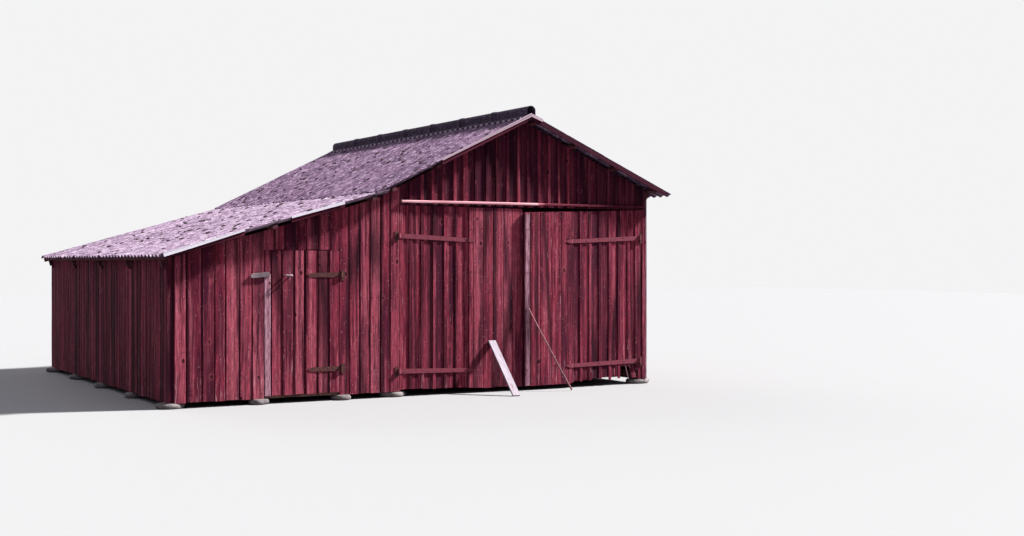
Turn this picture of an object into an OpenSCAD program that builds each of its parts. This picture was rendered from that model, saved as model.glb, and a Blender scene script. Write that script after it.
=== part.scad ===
// Timber boathouse with double doors in the gable and a lean-to on its left side.
// Millimetres. X runs along the front, Y into the building, Z up from the ground.
// Inside the modules X = 0 is the ridge line and Y = 0 the face of the front cladding.
// place() then moves every piece so that the origin is the middle of the whole footprint.

/* [Roof] */
// Height of the sheet crests at the ridge line
ridge_z = 4205; // [4000:5:5100]
// Height of the sheet crests at the right eave
right_eave_z = 3050; // [2950:5:3300]
// Height of the sheet crests where the main slope meets the lean-to
break_z = 2970; // [2940:5:3150]
// Height of the sheet crests at the low eave
low_eave_z = 2060; // [1900:5:2400]
// Roof past the right wall
right_over = 380; // [300:5:480]
// Main slope past the middle posts
break_over = 290; // [270:5:350]
// Lean-to roof past the left wall
low_over = 170; // [120:5:260]
// Roof past the front and back walls
verge_over = 190; // [150:5:240]

/* [Sheets] */
// Distance from crest to crest
wave = 177; // [130:1:215]
// Height from trough to crest
wave_depth = 51; // [30:1:62]
// Thickness of a sheet
sheet_t = 6.5; // [5:0.5:8]
// Length of the lean-to sheets under the main slope
sheet_lap = 150; // [100:5:170]

/* [Ridge caps] */
// Number of caps along the ridge
cap_count = 7; // [4:1:10]
// Inner radius of the roll
cap_r = 70; // [55:1:84]
// Height of the roll's centre above the ridge line
cap_rise = 42; // [20:1:52]
// Width of each wing down the slope
cap_wing = 185; // [160:5:330]
// Thickness of a cap
cap_t = 8; // [6:0.5:10]
// Length of the socket over the next cap
cap_socket = 80; // [60:5:120]
// Bare sheet between the last cap and the far verge
cap_short = 150; // [0:5:300]

/* [Walls] */
// Outside depth of the building, front face to back face
wall_d = 7320; // [6100:10:8900]
// From the ridge line to the outer face of the right wall
right_wall = 2260; // [2240:10:2300]
// From the ridge line to the outer face of the left wall
left_wall = 5500; // [4900:10:6000]
// Thickness of the cladding, boards and cover boards together
clad_t = 40; // [30:1:50]
// Height of the cladding's foot above the ground
clad_foot = 80; // [78:1:110]
// Size of the square posts
post = 100; // [85:1:120]
// Height of the sill beams
sill_h = 120; // [100:5:150]
// Height of the wall plates
plate_h = 120; // [100:5:140]
// Height of the foundation stones
stone_h = 75; // [50:5:75]
// Depth of the seat cut in a rafter, at the middle of its plate
seat = 30; // [26:1:36]
// Width of the corner boards
corner_w = 85; // [60:5:120]
// Thickness of trim boards
trim_t = 25; // [18:1:30]

/* [Roof timber] */
// Rafters along each slope, each pair over its own posts
rafter_count = 5; // [4:1:7]
// Thickness of a rafter
rafter_t = 50; // [40:1:60]
// Depth of a main rafter
rafter_d = 125; // [105:5:140]
// Depth of a lean-to rafter
lean_rafter_d = 100; // [85:5:115]
// Width of a purlin
purlin_w = 70; // [50:5:90]
// Depth of a purlin
purlin_d = 45; // [36:1:55]
// Thickness of the ridge board
ridge_t = 40; // [30:1:50]
// Depth of the ridge board
ridge_d = 180; // [150:5:215]
// Depth of the tie beams and of the lintel
tie_d = 120; // [100:5:140]
// Depth of the bargeboards
barge_d = 66; // [60:2:140]
// Height of the pale strips nailed over them and the sheets' edges at the front
strip_h = 60; // [50:1:80]

/* [Double door] */
// Clear width of the doorway left of the ridge line, up to the middle posts
door_left = 2110; // [1900:10:2130]
// Height of the lintel's underside
door_top = 2815; // [2340:5:2825]
// How far the gable's boards hang below it
head_lap = 25; // [0:5:50]
// Where the leaves meet, left of the ridge line
door_meet = 38; // [0:1:100]
// Gap between the leaves, and between a leaf and its frame
door_gap = 8; // [6:1:12]
// Height of the leaves' foot at the hinges
door_foot = 100; // [85:5:130]
// How far straps and rails at the top have sagged at the free edges
sag_top = 115; // [0:5:125]
// How far the leaves have sagged at the foot
sag_foot = 40; // [0:5:60]
// Fall of the left leaf's head to its free edge
left_head_fall = 15; // [0:5:100]
// Fall of the right leaf's head to its free edge
right_head_fall = 70; // [0:5:100]
// Face of the leaves behind the face of the cladding
door_set = 5; // [2:1:8]
// Thickness of a leaf's boards
leaf_t = 30; // [24:1:36]
// Width of the wide boards nailed over the left leaf at its free edge
left_over_w = 930; // [750:10:1120]
// Width of the same boards on the right leaf
right_over_w = 850; // [700:10:1020]
// Thickness of those boards
over_t = 20; // [16:1:24]
// Upper straps below the top of the doorway, at the hinge
upper_strap_drop = 478; // [300:2:600]
// Height of the lower straps at the hinge
lower_strap_z = 372; // [300:2:500]
// How far the right leaf stands ajar, in degrees
ajar = 1.6; // [0:0.1:3]

/* [Small door] */
// From the ridge line to the hinge edge of its opening
small_in = 3040; // [2700:10:3200]
// Width of the opening
small_w = 1125; // [900:5:1250]
// Height of the top of the opening
small_top = 2125; // [1850:5:2150]
// Gap round the leaf
small_gap = 10; // [8:1:14]
// Upper strap below the top of the opening
small_strap_drop = 353; // [250:1:500]
// Height of the lower strap
small_lower_z = 450; // [350:5:600]
// Length of a strap from its pin
small_strap_len = 495; // [400:5:600]

/* [Hinges] */
// Radius of a hinge pin
pin_r = 8; // [6:0.5:10]
// Running clearance round a pin
pin_clear = 0.08; // [0.05:0.01:0.1]
// Wall of the knuckle round the pin
knuckle_wall = 8; // [5:0.5:10]
// Width of a strap at its knuckle
strap_root = 70; // [55:1:84]
// Width of a strap near its tip
strap_tip = 58; // [40:1:64]
// Thickness of a strap
strap_t = 8; // [6:0.5:10]

/* [Props] */
// Length of the plank that leans on the left leaf
plank_len = 1060; // [900:10:1250]
// Width of the plank
plank_w = 125; // [95:5:150]
// Thickness of the plank
plank_t = 22; // [18:1:30]
// Slope of the plank, in degrees
plank_tilt = 46; // [40:1:65]
// From the ridge line to the plank's middle
plank_x = 590; // [450:10:800]
// Radius of the stake that leans on the right leaf
stake_r = 14; // [10:1:20]
// Height of the stake's top
stake_top = 1250; // [1000:10:1400]

/* [Hidden] */

red = "#7a3a42";
shaded_red = "#5e2a34";
bare_wood = "#8d8078";
frame_wood = "#8a6f52";
cement = "#a79fa6";
cap_grey = "#4d434f";
iron = "#3a3634";
stone = "#7b7876";
white_paint = "#cfc8c6";

touch = 0.3;        // clearance where a sloping or loose piece lies on another
far = 20000;        // larger than the building, for cutting half spaces
wave_points = 8;    // points of the outline in each wave

right_run = right_wall + right_over;
middle_out = door_left + post;
break_run = middle_out + break_over;
low_run = left_wall + low_over;
roof_len = wall_d + 2 * verge_over;

// The lean-to sheets start just under the main sheets
lap_gap = 2.3;
lean_drop = sheet_t + lap_gap;
lean_top_z = break_z - lean_drop;
right_pitch = atan((ridge_z - right_eave_z) / right_run);
left_pitch = atan((ridge_z - break_z) / break_run);
lean_pitch = atan((lean_top_z - low_eave_z) / (low_run - break_run));
right_len = right_run / cos(right_pitch);
left_len = break_run / cos(left_pitch);
lean_len = (low_run - break_run) / cos(lean_pitch);

sheet_h = wave_depth + sheet_t;
purlin_under = sheet_h + purlin_d;
rafter_under = purlin_under + rafter_d;
lean_under = purlin_under + lean_rafter_d;

// Heights of a plane that lies a depth below the crests of each slope
function right_z(x, depth) = ridge_z - x * tan(right_pitch) - depth / cos(right_pitch);
function left_z(x, depth) = ridge_z + x * tan(left_pitch) - depth / cos(left_pitch);
function lean_z(x, depth) =
    lean_top_z + (x + break_run) * tan(lean_pitch) - depth / cos(lean_pitch);

// Where the undersides of the main and lean-to purlins meet
break_x = (lean_z(0, purlin_under) - left_z(0, purlin_under)) / (tan(left_pitch) - tan(lean_pitch));

right_in = right_wall - clad_t;
left_in = left_wall - clad_t;
back_in = wall_d - clad_t;
door_right = right_in - post;
sill_top = stone_h + sill_h;
right_plate_top = right_z(right_in - post / 2, rafter_under) + seat;
middle_plate_top = left_z(-door_left - post / 2, rafter_under) + seat;
left_plate_top = lean_z(-left_in + post / 2, lean_under) + seat;
ledger_t = 60;
ledger_top = lean_z(-middle_out - ledger_t / 2, lean_under) + seat / 2;
small_out = small_in + small_w;
door_head = door_top - head_lap;    // top of the double doorway, under the gable's boards
lean_post_x = (left_in + door_left) / 2;    // the post inside the back wall of the lean-to

// Rafters stand over the posts, and the lean-to rafters beside them
last_rafter = rafter_count - 1;
rafter_step = (back_in - clad_t - rafter_t - 2 * touch) / last_rafter;
function rafter_y(i) = clad_t + touch + i * rafter_step;
function lean_rafter_y(i) =
    rafter_y(i) + (i < last_rafter / 2 ? rafter_t + touch : -rafter_t - touch);
function post_y(i) = i == 0 ? clad_t
    : i == last_rafter ? back_in - post : rafter_y(i) + (rafter_t - post) / 2;

// Leaning plank, in the plane of Y and Z
plank_face_y = door_set - over_t - touch;
plank_foot_y = plank_face_y - plank_len * cos(plank_tilt);
front_y = plank_foot_y - plank_t * sin(plank_tilt);
back_y = wall_d + verge_over;

module place() {
    translate([(low_run - right_run) / 2, -(front_y + back_y) / 2, 0]) children();
}

module box(x0, x1, y0, y1, z0, z1) {
    translate([x0, y0, z0]) cube([x1 - x0, y1 - y0, z1 - z0]);
}

// A plate with its outline in X and Z, from y0 to y1
module plate_xz(points, y0, y1) {
    translate([0, y1, 0]) rotate([90, 0, 0]) linear_extrude(y1 - y0) polygon(points);
}

// Frames of the slopes: x runs down the slope and z stands on it, zero at the crests
module right_slope() {
    translate([0, 0, ridge_z]) rotate([0, right_pitch, 0]) children();
}
module left_slope() {
    translate([0, 0, ridge_z]) mirror([1, 0, 0]) rotate([0, left_pitch, 0]) children();
}
module lean_slope() {
    translate([-break_run, 0, lean_top_z]) mirror([1, 0, 0]) rotate([0, lean_pitch, 0])
        children();
}

// A seven-sided field stone, level on top and underneath
module field_stone(x, y, long, wide, turn) {
    sides = 7;
    outline = [for (i = [0:sides - 1])
        let (a = 360 * i / sides + turn, r = 1 + 0.07 * sin(3 * a + turn))
        [long / 2 * r * cos(a), wide / 2 * r * sin(a)]];
    translate([x, y, 0]) linear_extrude(stone_h) polygon(outline);
}

module foundation_stones() {
    long = 430;
    wide = 330;
    inward = 60;    // stones under the end walls stand this far into the building
    outward = 20;   // stones of the right wall show past it
    color(stone) place() {
        for (i = [0:last_rafter]) {
            mid = post_y(i) + post / 2;
            y = i == 0 ? mid + inward : i == last_rafter ? mid - inward : mid;
            field_stone(right_in - post / 2 + outward, y, long, wide, 11 + 37 * i);
            field_stone(-left_in + post / 2 - outward / 2, y, long, wide, 23 + 31 * i);
            field_stone(-door_left - post / 2, y, long, wide, 5 + 43 * i);
        }
        field_stone(-small_in + post / 2, post_y(0) + post / 2, wide, wide, 40);
        field_stone(-small_out - post / 2, post_y(0) + post / 2, wide, wide, 75);
        field_stone(-lean_post_x, back_in - post / 2, wide, wide, 20);
        field_stone(0, back_in - post / 2, wide, wide, 62);
    }
}

module sill_beams() {
    joint = 1;
    color(frame_wood) place() {
        box(right_in - post, right_in, clad_t, back_in, stone_h, sill_top);
        box(-left_in, -left_in + post, clad_t, back_in, stone_h, sill_top);
        box(-left_in + post + joint, -door_left, clad_t, clad_t + post, stone_h, sill_top);
        box(-left_in + post + joint, right_in - post - joint, back_in - post, back_in,
            stone_h, sill_top);
    }
}

// A post under the front or back lean-to rafter, its head cut to the slope
module lean_post(x0, y0, y1) {
    plate_xz([[x0, sill_top], [x0 + post, sill_top],
        [x0 + post, lean_z(x0 + post, lean_under + touch)],
        [x0, lean_z(x0, lean_under + touch)]], y0, y1);
}

module wall_posts() {
    color(frame_wood) place() {
        for (i = [0:last_rafter]) {
            box(right_in - post, right_in, post_y(i), post_y(i) + post,
                sill_top, right_plate_top - plate_h);
            box(-left_in, -left_in + post, post_y(i), post_y(i) + post,
                sill_top, left_plate_top - plate_h);
        }
        lean_post(-small_in, clad_t, clad_t + post);
        lean_post(-small_out - post, clad_t, clad_t + post);
        lean_post(-lean_post_x - post / 2, back_in - post, back_in);
        box(-post / 2, post / 2, back_in - post, back_in, sill_top, door_top);
    }
}

// The row between the boat bay and the lean-to, which carries the main slope
module middle_posts() {
    color(frame_wood) place() for (i = [0:last_rafter]) {
        foot = i == 0 || i == last_rafter ? sill_top : stone_h;
        box(-middle_out, -door_left, post_y(i), post_y(i) + post,
            foot, middle_plate_top - plate_h);
    }
}

// Rails let in between the posts, for nailing the boards
module wall_rails() {
    rail_t = 50;
    rail_h = 100;
    rail_z = 1150;
    back_posts = [-left_in, -lean_post_x - post / 2, -middle_out, -post / 2, door_right];
    color(frame_wood) place() {
        for (i = [0:last_rafter - 1]) {
            box(right_in - rail_t, right_in, post_y(i) + post, post_y(i + 1),
                rail_z, rail_z + rail_h);
            box(-left_in, -left_in + rail_t, post_y(i) + post, post_y(i + 1),
                rail_z, rail_z + rail_h);
        }
        for (i = [0:len(back_posts) - 2])
            box(back_posts[i] + post, back_posts[i + 1], back_in - rail_t, back_in,
                rail_z, rail_z + rail_h);
        box(-left_in + post, -small_out - post, clad_t, clad_t + rail_t,
            rail_z, rail_z + rail_h);
        box(-small_in + post, -middle_out, clad_t, clad_t + rail_t, rail_z, rail_z + rail_h);
    }
}

module right_plate() {
    box(right_in - post, right_in, clad_t, back_in, right_plate_top - plate_h, right_plate_top);
}
module middle_plate() {
    box(-middle_out, -door_left, clad_t, back_in, middle_plate_top - plate_h, middle_plate_top);
}
module left_plate() {
    box(-left_in, -left_in + post, clad_t, back_in, left_plate_top - plate_h, left_plate_top);
}
module wall_plates() {
    color(frame_wood) place() {
        right_plate();
        middle_plate();
        left_plate();
    }
}

// Beam on the outer side of the middle posts, under the heads of the lean-to rafters
module ledger() {
    box(-middle_out - ledger_t, -middle_out, clad_t, back_in, ledger_top - tie_d, ledger_top);
}
module lean_to_ledger() {
    color(frame_wood) place() ledger();
}

// Everything above the undersides of the main rafters on the left slope
module above_left_rafters() {
    plate_xz([[0, left_z(0, rafter_under)], [-far, left_z(-far, rafter_under)],
        [-far, far], [0, far]], -far, far);
}

// A beam across the boat bay, its left end cut to lie under the rafter
module cross_beam(y) {
    difference() {
        box(-door_left, door_right, y, y + post, door_top, door_top + tie_d);
        above_left_rafters();
    }
}

module door_lintel() {
    color(frame_wood) place() cross_beam(clad_t);
}

module small_door_header() {
    header_h = 90;
    color(frame_wood) place()
        box(-small_out, -small_in, clad_t, clad_t + post, small_top, small_top + header_h);
}

module tie_beams() {
    color(frame_wood) place() for (i = [1:last_rafter]) cross_beam(post_y(i));
}

ridge_play = 6;     // between the ridge board and the planes of the purlins' undersides
ridge_board_top = min(right_z(0, purlin_under), left_z(0, purlin_under)) - ridge_play;

module king_posts() {
    king = 75;
    color(frame_wood) place() for (i = [0:last_rafter])
        box(-king / 2, king / 2, post_y(i) + (post - king) / 2, post_y(i) + (post + king) / 2,
            door_top + tie_d, ridge_board_top - ridge_d);
}

module ridge_board() {
    color(frame_wood) place()
        box(-ridge_t / 2, ridge_t / 2, clad_t, back_in,
            ridge_board_top - ridge_d, ridge_board_top);
}

tail_back = 240;    // rafter tails stop this far inside the right eave
lean_tail_back = 70;

module main_rafters() {
    head = 150;     // extra length at the head, taken off again by the plumb cut
    color(frame_wood) place() {
        difference() {
            for (i = [0:last_rafter]) right_slope()
                box(-head, right_len - tail_back / cos(right_pitch),
                    rafter_y(i), rafter_y(i) + rafter_t, -rafter_under, -purlin_under);
            box(-far, ridge_t / 2, -far, far, 0, far);
            right_plate();
        }
        difference() {
            for (i = [0:last_rafter]) left_slope()
                box(-head, left_len - purlin_w,
                    rafter_y(i), rafter_y(i) + rafter_t, -rafter_under, -purlin_under);
            box(-ridge_t / 2, far, -far, far, 0, far);
            middle_plate();
            ledger();
        }
    }
}

module lean_to_rafters() {
    past = 900;     // extra length at the head, cut off at the middle posts
    color(frame_wood) place() difference() {
        for (i = [0:last_rafter])
            lean_slope() box(-past, lean_len - lean_tail_back / cos(lean_pitch),
                lean_rafter_y(i), lean_rafter_y(i) + rafter_t, -lean_under, -purlin_under);
        box(-middle_out, far, -far, far, 0, far);
        left_plate();
        ledger();
    }
}

sheet_past = 20;    // sheets past the bargeboards at the back
purlin_from = -verge_over + trim_t;
purlin_to = wall_d + verge_over - sheet_past - trim_t;

// Purlins at even steps down a slope
module purlins(first, last, count) {
    for (i = [0:count - 1])
        box(first + i * (last - first) / (count - 1),
            first + i * (last - first) / (count - 1) + purlin_w,
            purlin_from, purlin_to, -purlin_under, -sheet_h);
}

module main_purlins() {
    head = 110;
    clear = 20;     // from the lowest left purlin to the lapped sheets
    right_foot = right_len - tail_back / cos(right_pitch) - purlin_w;
    left_foot = left_len - sheet_lap / cos(left_pitch) - purlin_w - clear;
    color(frame_wood) place() {
        right_slope() purlins(head, right_foot, 4);
        left_slope() purlins(head, left_foot, 4);
    }
}

module lean_to_purlins() {
    head = 60;
    foot = lean_len - lean_tail_back / cos(lean_pitch) - purlin_w;
    color(frame_wood) place() lean_slope() purlins(head, foot, 5);
}

// Waved sheeting from x0 to x1 down a slope, over the whole length of the roof. It starts
// with a crest at the front verge.
module sheeting(x0, x1) {
    last = roof_len * wave_points / wave;
    along = [for (i = [0:ceil(last) - 1]) i, last];
    top = [for (i = along) [i * wave / wave_points,
        sheet_t + wave_depth * (1 + cos(360 * i / wave_points)) / 2]];
    under = [for (k = [len(top) - 1:-1:0]) [top[k][0], top[k][1] - sheet_t]];
    translate([x0, -verge_over, -sheet_h]) rotate([90, 0, 90])
        linear_extrude(x1 - x0) polygon(concat(top, under));
}

// How far the sheets lie below their crests at a distance from the front verge
function wave_fall(y) =
    let (u = y * wave_points / wave, i = floor(u),
        a = 1 - cos(360 * i / wave_points), b = 1 - cos(360 * (i + 1) / wave_points))
    wave_depth / 2 * (a + (b - a) * (u - i));

ridge_gap = 60;     // bare ridge between the heads of the sheets, under the caps

module right_roof_sheets() {
    color(cement) place() right_slope() sheeting(ridge_gap, right_len);
}
module left_roof_sheets() {
    color(cement) place() left_slope() sheeting(ridge_gap, left_len);
}
module lean_to_roof_sheets() {
    color(cement) place() lean_slope() sheeting(-sheet_lap / cos(lean_pitch), lean_len);
}

// Half of a cap's section at a distance o from its underside: wing tip, neck, roll
function wing_tip(pitch, o) = [
    cap_wing * cos(pitch) + (touch + o) * sin(pitch),
    -cap_wing * sin(pitch) + (touch + o) * cos(pitch)];
function neck(pitch, o) = [cap_r + o, (touch + o) / cos(pitch) - (cap_r + o) * tan(pitch)];
function cap_line(o) = concat(
    [wing_tip(right_pitch, o), neck(right_pitch, o)],
    [for (a = [0:15:180]) [(cap_r + o) * cos(a), cap_rise + (cap_r + o) * sin(a)]],
    [for (p = [neck(left_pitch, o), wing_tip(left_pitch, o)]) [-p[0], p[1]]]);

// A length of cap between two distances from the underside
module cap_shell(inner, outer, y0, y1) {
    out_line = cap_line(outer);
    in_line = cap_line(inner);
    back = [for (k = [len(in_line) - 1:-1:0]) in_line[k]];
    translate([0, 0, ridge_z]) plate_xz(concat(out_line, back), y0, y1);
}

module ridge_caps() {
    step = (roof_len - cap_short) / cap_count;
    play = 0.8;     // between a cap and the socket over it
    rim = 12;       // length of the step where the socket starts
    end_gap = 2;
    color(cap_grey) place() for (i = [0:cap_count - 1]) {
        y0 = -verge_over + i * step;
        y1 = y0 + step;
        if (i < cap_count - 1) {
            cap_shell(0, cap_t, y0, y1 - end_gap);
            cap_shell(0, 2 * cap_t + play, y1 - end_gap - rim, y1 - end_gap);
            cap_shell(cap_t + play, 2 * cap_t + play, y1 - end_gap - rim, y1 + cap_socket);
        } else {
            cap_shell(0, cap_t, y0, y1);
        }
    }
}

barge_end = 110;    // bargeboards stop this far inside the eaves

// The space of the lean-to sheets where they run up under the main sheets
module lapped_sheets() {
    lean_slope() box(-sheet_lap / cos(lean_pitch) - touch, sheet_lap, -far, far,
        -sheet_h - touch, far);
}

// Boards along the three slopes of one verge, between two depths below the crests
module verge_boards(y0, y1, upper, lower) {
    gap = 1;
    difference() {
        right_slope() box(-barge_d, right_len - barge_end, y0, y1, -lower, -upper);
        box(-far, gap / 2, -far, far, 0, far);
    }
    difference() {
        left_slope() box(-barge_d, left_len + barge_d, y0, y1, -lower, -upper);
        lapped_sheets();
        box(-gap / 2, far, -far, far, 0, far);
        box(-far, -break_run + gap / 2, -far, far, 0, far);
    }
    difference() {
        lean_slope() box(-barge_d, lean_len - barge_end / 2, y0, y1, -lower, -upper);
        box(-break_run - gap / 2, far, -far, far, 0, far);
    }
}

// The stretches where boards are left on the front verge, from side to side
low_end = low_run - 1170;
kept = [[-low_run, -low_end], [-break_run - 1350, -break_run - 540],
    [-1540, 0], [0, right_run]];
// Pale strips are left on these
pale = [[-low_run, -low_end], [-break_run - 1340, -break_run - 550], [-1520, 0], [0, 210]];
module stretches(list) {
    for (s = list) box(s[0], s[1], -far, far, 0, far);
}

// The front boards lie flush with the sheets' edges, under the first wave
barge_under = sheet_t + wave_fall(trim_t) + touch;
module front_bargeboards() {
    color(red) place() intersection() {
        verge_boards(purlin_from - trim_t, purlin_from, barge_under, barge_under + barge_d);
        stretches(kept);
    }
}
module back_bargeboards() {
    color(red) place()
        verge_boards(purlin_to, purlin_to + trim_t, sheet_h, sheet_h + barge_d);
}
module verge_strips() {
    strip_t = 18;
    above = 3;      // the strips' top edge above the crests
    color(white_paint) place() intersection() {
        verge_boards(-verge_over - strip_t, -verge_over, -above, strip_h - above);
        stretches(pale);
    }
}

// Side cladding, scribed round the rafters
module right_wall_cladding() {
    top = right_z(right_wall, purlin_under + touch);
    color(shaded_red) place() difference() {
        box(right_in, right_wall, clad_t, back_in, clad_foot, top);
        for (i = [0:last_rafter]) right_slope()
            box(0, right_len, rafter_y(i) - touch, rafter_y(i) + rafter_t + touch,
                -rafter_under - touch, 0);
    }
}
module left_wall_cladding() {
    top = lean_z(-left_wall, purlin_under + touch);
    color(shaded_red) place() difference() {
        box(-left_wall, -left_in, clad_t, back_in, clad_foot, top);
        for (i = [0:last_rafter]) lean_slope()
            box(0, lean_len, lean_rafter_y(i) - touch, lean_rafter_y(i) + rafter_t + touch,
                -lean_under - touch, 0);
    }
}

// Gable over the doorway, up to the purlins
boards_under = purlin_under + touch;
module gable(foot, y0, y1) {
    plate_xz([[-door_left, foot], [right_wall, foot], [right_wall, right_z(right_wall, boards_under)],
        [0, min(right_z(0, boards_under), left_z(0, boards_under))],
        [-door_left, left_z(-door_left, boards_under)]], y0, y1);
}

// End wall under the lean-to roof, from x0 to x1, up to the purlins
module lean_wall(x0, x1, foot, y0, y1) {
    broken = x1 > break_x;
    top = broken
        ? [[x1, left_z(x1, boards_under)], [break_x, left_z(break_x, boards_under)]]
        : [[x1, lean_z(x1, boards_under)]];
    plate_xz(concat([[x0, foot], [x1, foot]], top, [[x0, lean_z(x0, boards_under)]]), y0, y1);
}

module back_gable_wall() {
    color(shaded_red) place() gable(clad_foot, back_in, wall_d);
}
module back_lean_to_wall() {
    color(shaded_red) place() lean_wall(-left_wall, -door_left, clad_foot, back_in, wall_d);
}
module front_gable() {
    color(red) place() gable(door_head, 0, clad_t);
}
module front_corner_wall() {
    color(red) place() lean_wall(-left_wall, -small_out, clad_foot, 0, clad_t);
}
module wall_over_small_door() {
    color(red) place() lean_wall(-small_out, -small_in, small_top, 0, clad_t);
}
module wall_between_doors() {
    color(red) place() lean_wall(-small_in, -door_left, clad_foot, 0, clad_t);
}
module right_door_jamb() {
    color(red) place() box(door_right, right_wall, 0, clad_t, clad_foot, door_head);
}

// Boards that close the corners of the right wall
module corner_boards() {
    top = right_z(right_wall + trim_t, rafter_under) - touch;
    color(red) place() {
        box(right_wall, right_wall + trim_t, 0, corner_w, clad_foot, top);
        box(right_wall, right_wall + trim_t, wall_d - corner_w, wall_d, clad_foot, top);
    }
}

module drip_board() {
    out = 48;
    thick = 30;
    fall = 8;       // slope of its top
    above = 4;      // its underside above the lintel's
    inset = 20;     // its ends from the ends of the gable
    z = door_top + above;
    color(red) place() plate_yz([[0, z + thick + fall], [-out, z + thick], [-out, z], [0, z]],
        -door_left + inset, right_wall - clad_t - inset);
}

// A plate with its outline in Y and Z, from x0 to x1
module plate_yz(points, x0, x1) {
    translate([x0, 0, 0]) rotate([90, 0, 90]) linear_extrude(x1 - x0) polygon(points);
}

// Hinge axes. The pins stand in front of the cladding, clear of it
knuckle_r = pin_r + pin_clear + knuckle_wall;
pin_y = -knuckle_r - 6;
pin_out = 15;       // from the edge of the doorway to the pin
left_pin_x = -door_left - pin_out;
right_pin_x = door_right + pin_out;
small_pin_x = -small_in + pin_out;
upper_strap_z = door_top - upper_strap_drop;
small_upper_z = small_top - small_strap_drop;

// Pin, the arm that it stands on and the plate on the wall, to the right of the pin
module pintle() {
    arm_h = 14;
    plate_t = 5;
    plate_w = 50;
    plate_past = 30;    // the plate above and below the knuckle
    plate_x = pin_out - 8;
    pin_past = 12;      // the pin above the knuckle
    arm_past = 20;      // the arm's length on the plate
    z0 = -strap_root / 2 - 1;
    z1 = strap_root / 2;
    translate([0, pin_y, 0]) {
        translate([0, 0, z0 - arm_h]) cylinder(h = z1 + pin_past - z0 + arm_h, r = pin_r);
        box(-pin_r, plate_x + arm_past, -pin_r, -pin_y, z0 - arm_h, z0);
        box(plate_x, plate_x + plate_w, -pin_y - plate_t, -pin_y,
            z0 - arm_h - plate_past, z1 + plate_past);
    }
}

module door_pintles() {
    color(iron) place() {
        for (z = [lower_strap_z, upper_strap_z]) {
            translate([left_pin_x, 0, z]) mirror([1, 0, 0]) pintle();
            translate([right_pin_x, 0, z]) pintle();
        }
        for (z = [small_lower_z, small_upper_z]) translate([small_pin_x, 0, z]) pintle();
    }
}

// In a door's own frame the pin is the origin, x runs to the free edge and y into the
// building. The right leaf and the small door are drawn as mirrors of a left one.
left_leaf_w = door_left - door_meet - door_gap / 2 + pin_out;
right_leaf_w = door_right + door_meet - door_gap / 2 + pin_out;
module left_swing() {
    translate([left_pin_x, pin_y, 0]) children();
}
module right_swing() {
    translate([right_pin_x, pin_y, 0]) rotate([0, 0, ajar]) mirror([1, 0, 0]) children();
}
module small_swing() {
    translate([small_pin_x, pin_y, 0]) mirror([1, 0, 0]) children();
}

leaf_y = door_set - pin_y;
leaf_from = pin_out + door_gap;
function sagged(z, x, w, sag) = z - sag * (x - leaf_from) / (w - leaf_from);
function leaf_sag(z, x, w) =
    sagged(z, x, w, sag_foot + (sag_top - sag_foot) * (z - door_foot) / (door_head - door_foot));

// Boards: a full leaf and the wider boards over its free edge
module leaf_boards(w, over_w, head_fall) {
    top = door_head - door_gap;
    plate_xz([[leaf_from, door_foot], [w, sagged(door_foot, w, w, sag_foot)],
        [w, sagged(top, w, w, head_fall)], [leaf_from, top]], leaf_y, leaf_y + leaf_t);
    x0 = w - over_w;
    foot = door_foot - 8;       // the wide boards hang a little lower
    head = top - 6;
    plate_xz([[x0, sagged(foot, x0, w, sag_foot)], [w, sagged(foot, w, w, sag_foot)],
        [w, sagged(head, w, w, head_fall)], [x0, sagged(head, x0, w, head_fall)]],
        leaf_y - over_t, leaf_y);
}

// A level timber that has sagged with the leaf, from x0 to x1, its middle at height z
module sagging_rail(x0, x1, y0, y1, z, h, w) {
    a = leaf_sag(z, x0, w);
    b = leaf_sag(z, x1, w);
    plate_xz([[x0, a - h / 2], [x1, b - h / 2], [x1, b + h / 2], [x0, a + h / 2]], y0, y1);
}

// Inner rails, and braces that prop each one from the hinge side of the rail below
module leaf_braces(w) {
    rail_t = 35;
    rail_h = 120;
    inset = 70;
    bite = 8;       // how far a brace is let into the rails
    y0 = leaf_y + leaf_t;
    x0 = leaf_from + 2 * door_gap + 20;
    x1 = w - inset;
    middle = (lower_strap_z + upper_strap_z) / 2;
    for (z = [lower_strap_z, middle, upper_strap_z])
        sagging_rail(x0, x1, y0, y0 + rail_t, z, rail_h, w);
    for (h = [[lower_strap_z, middle], [middle, upper_strap_z]]) {
        foot = leaf_sag(h[0], x0, w) + rail_h / 2 - bite;
        head = leaf_sag(h[1], x1, w) - rail_h / 2 + bite;
        lean = leaf_sag(0, x0, w) - leaf_sag(0, x0 + rail_h, w);
        plate_xz([[x0, foot], [x0 + rail_h, foot - lean], [x1, head], [x1 - rail_h, head + lean]],
            y0, y0 + rail_t);
    }
}

// Plan of a strap: rolled round the pin, cranked back to the face of the boards and, where
// rise is not zero, stepped up over the thicker boards that start at x1
module strap_plan(x1, x2, face, rise) {
    root = knuckle_r - 0.5;     // starts inside the knuckle's surface
    crank = pin_out + 5;
    crank_run = 12;
    step = 30;
    clear = 4;                  // from the step to the edge of the thicker boards
    slant = 1.5;                // keeps the cranked parts as thick as the rest
    start = [[0, root], [crank, root], [crank + crank_run, face]];
    end = rise == 0 ? [[x2, face]]
        : [[x1 - step - clear, face], [x1 - clear, face - rise], [x2, face - rise]];
    back = concat(start, end);
    front = [for (i = [len(back) - 1:-1:0]) back[i] - [i == 0 ? 0 : -slant, strap_t]];
    polygon(concat(back, front));
}

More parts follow.
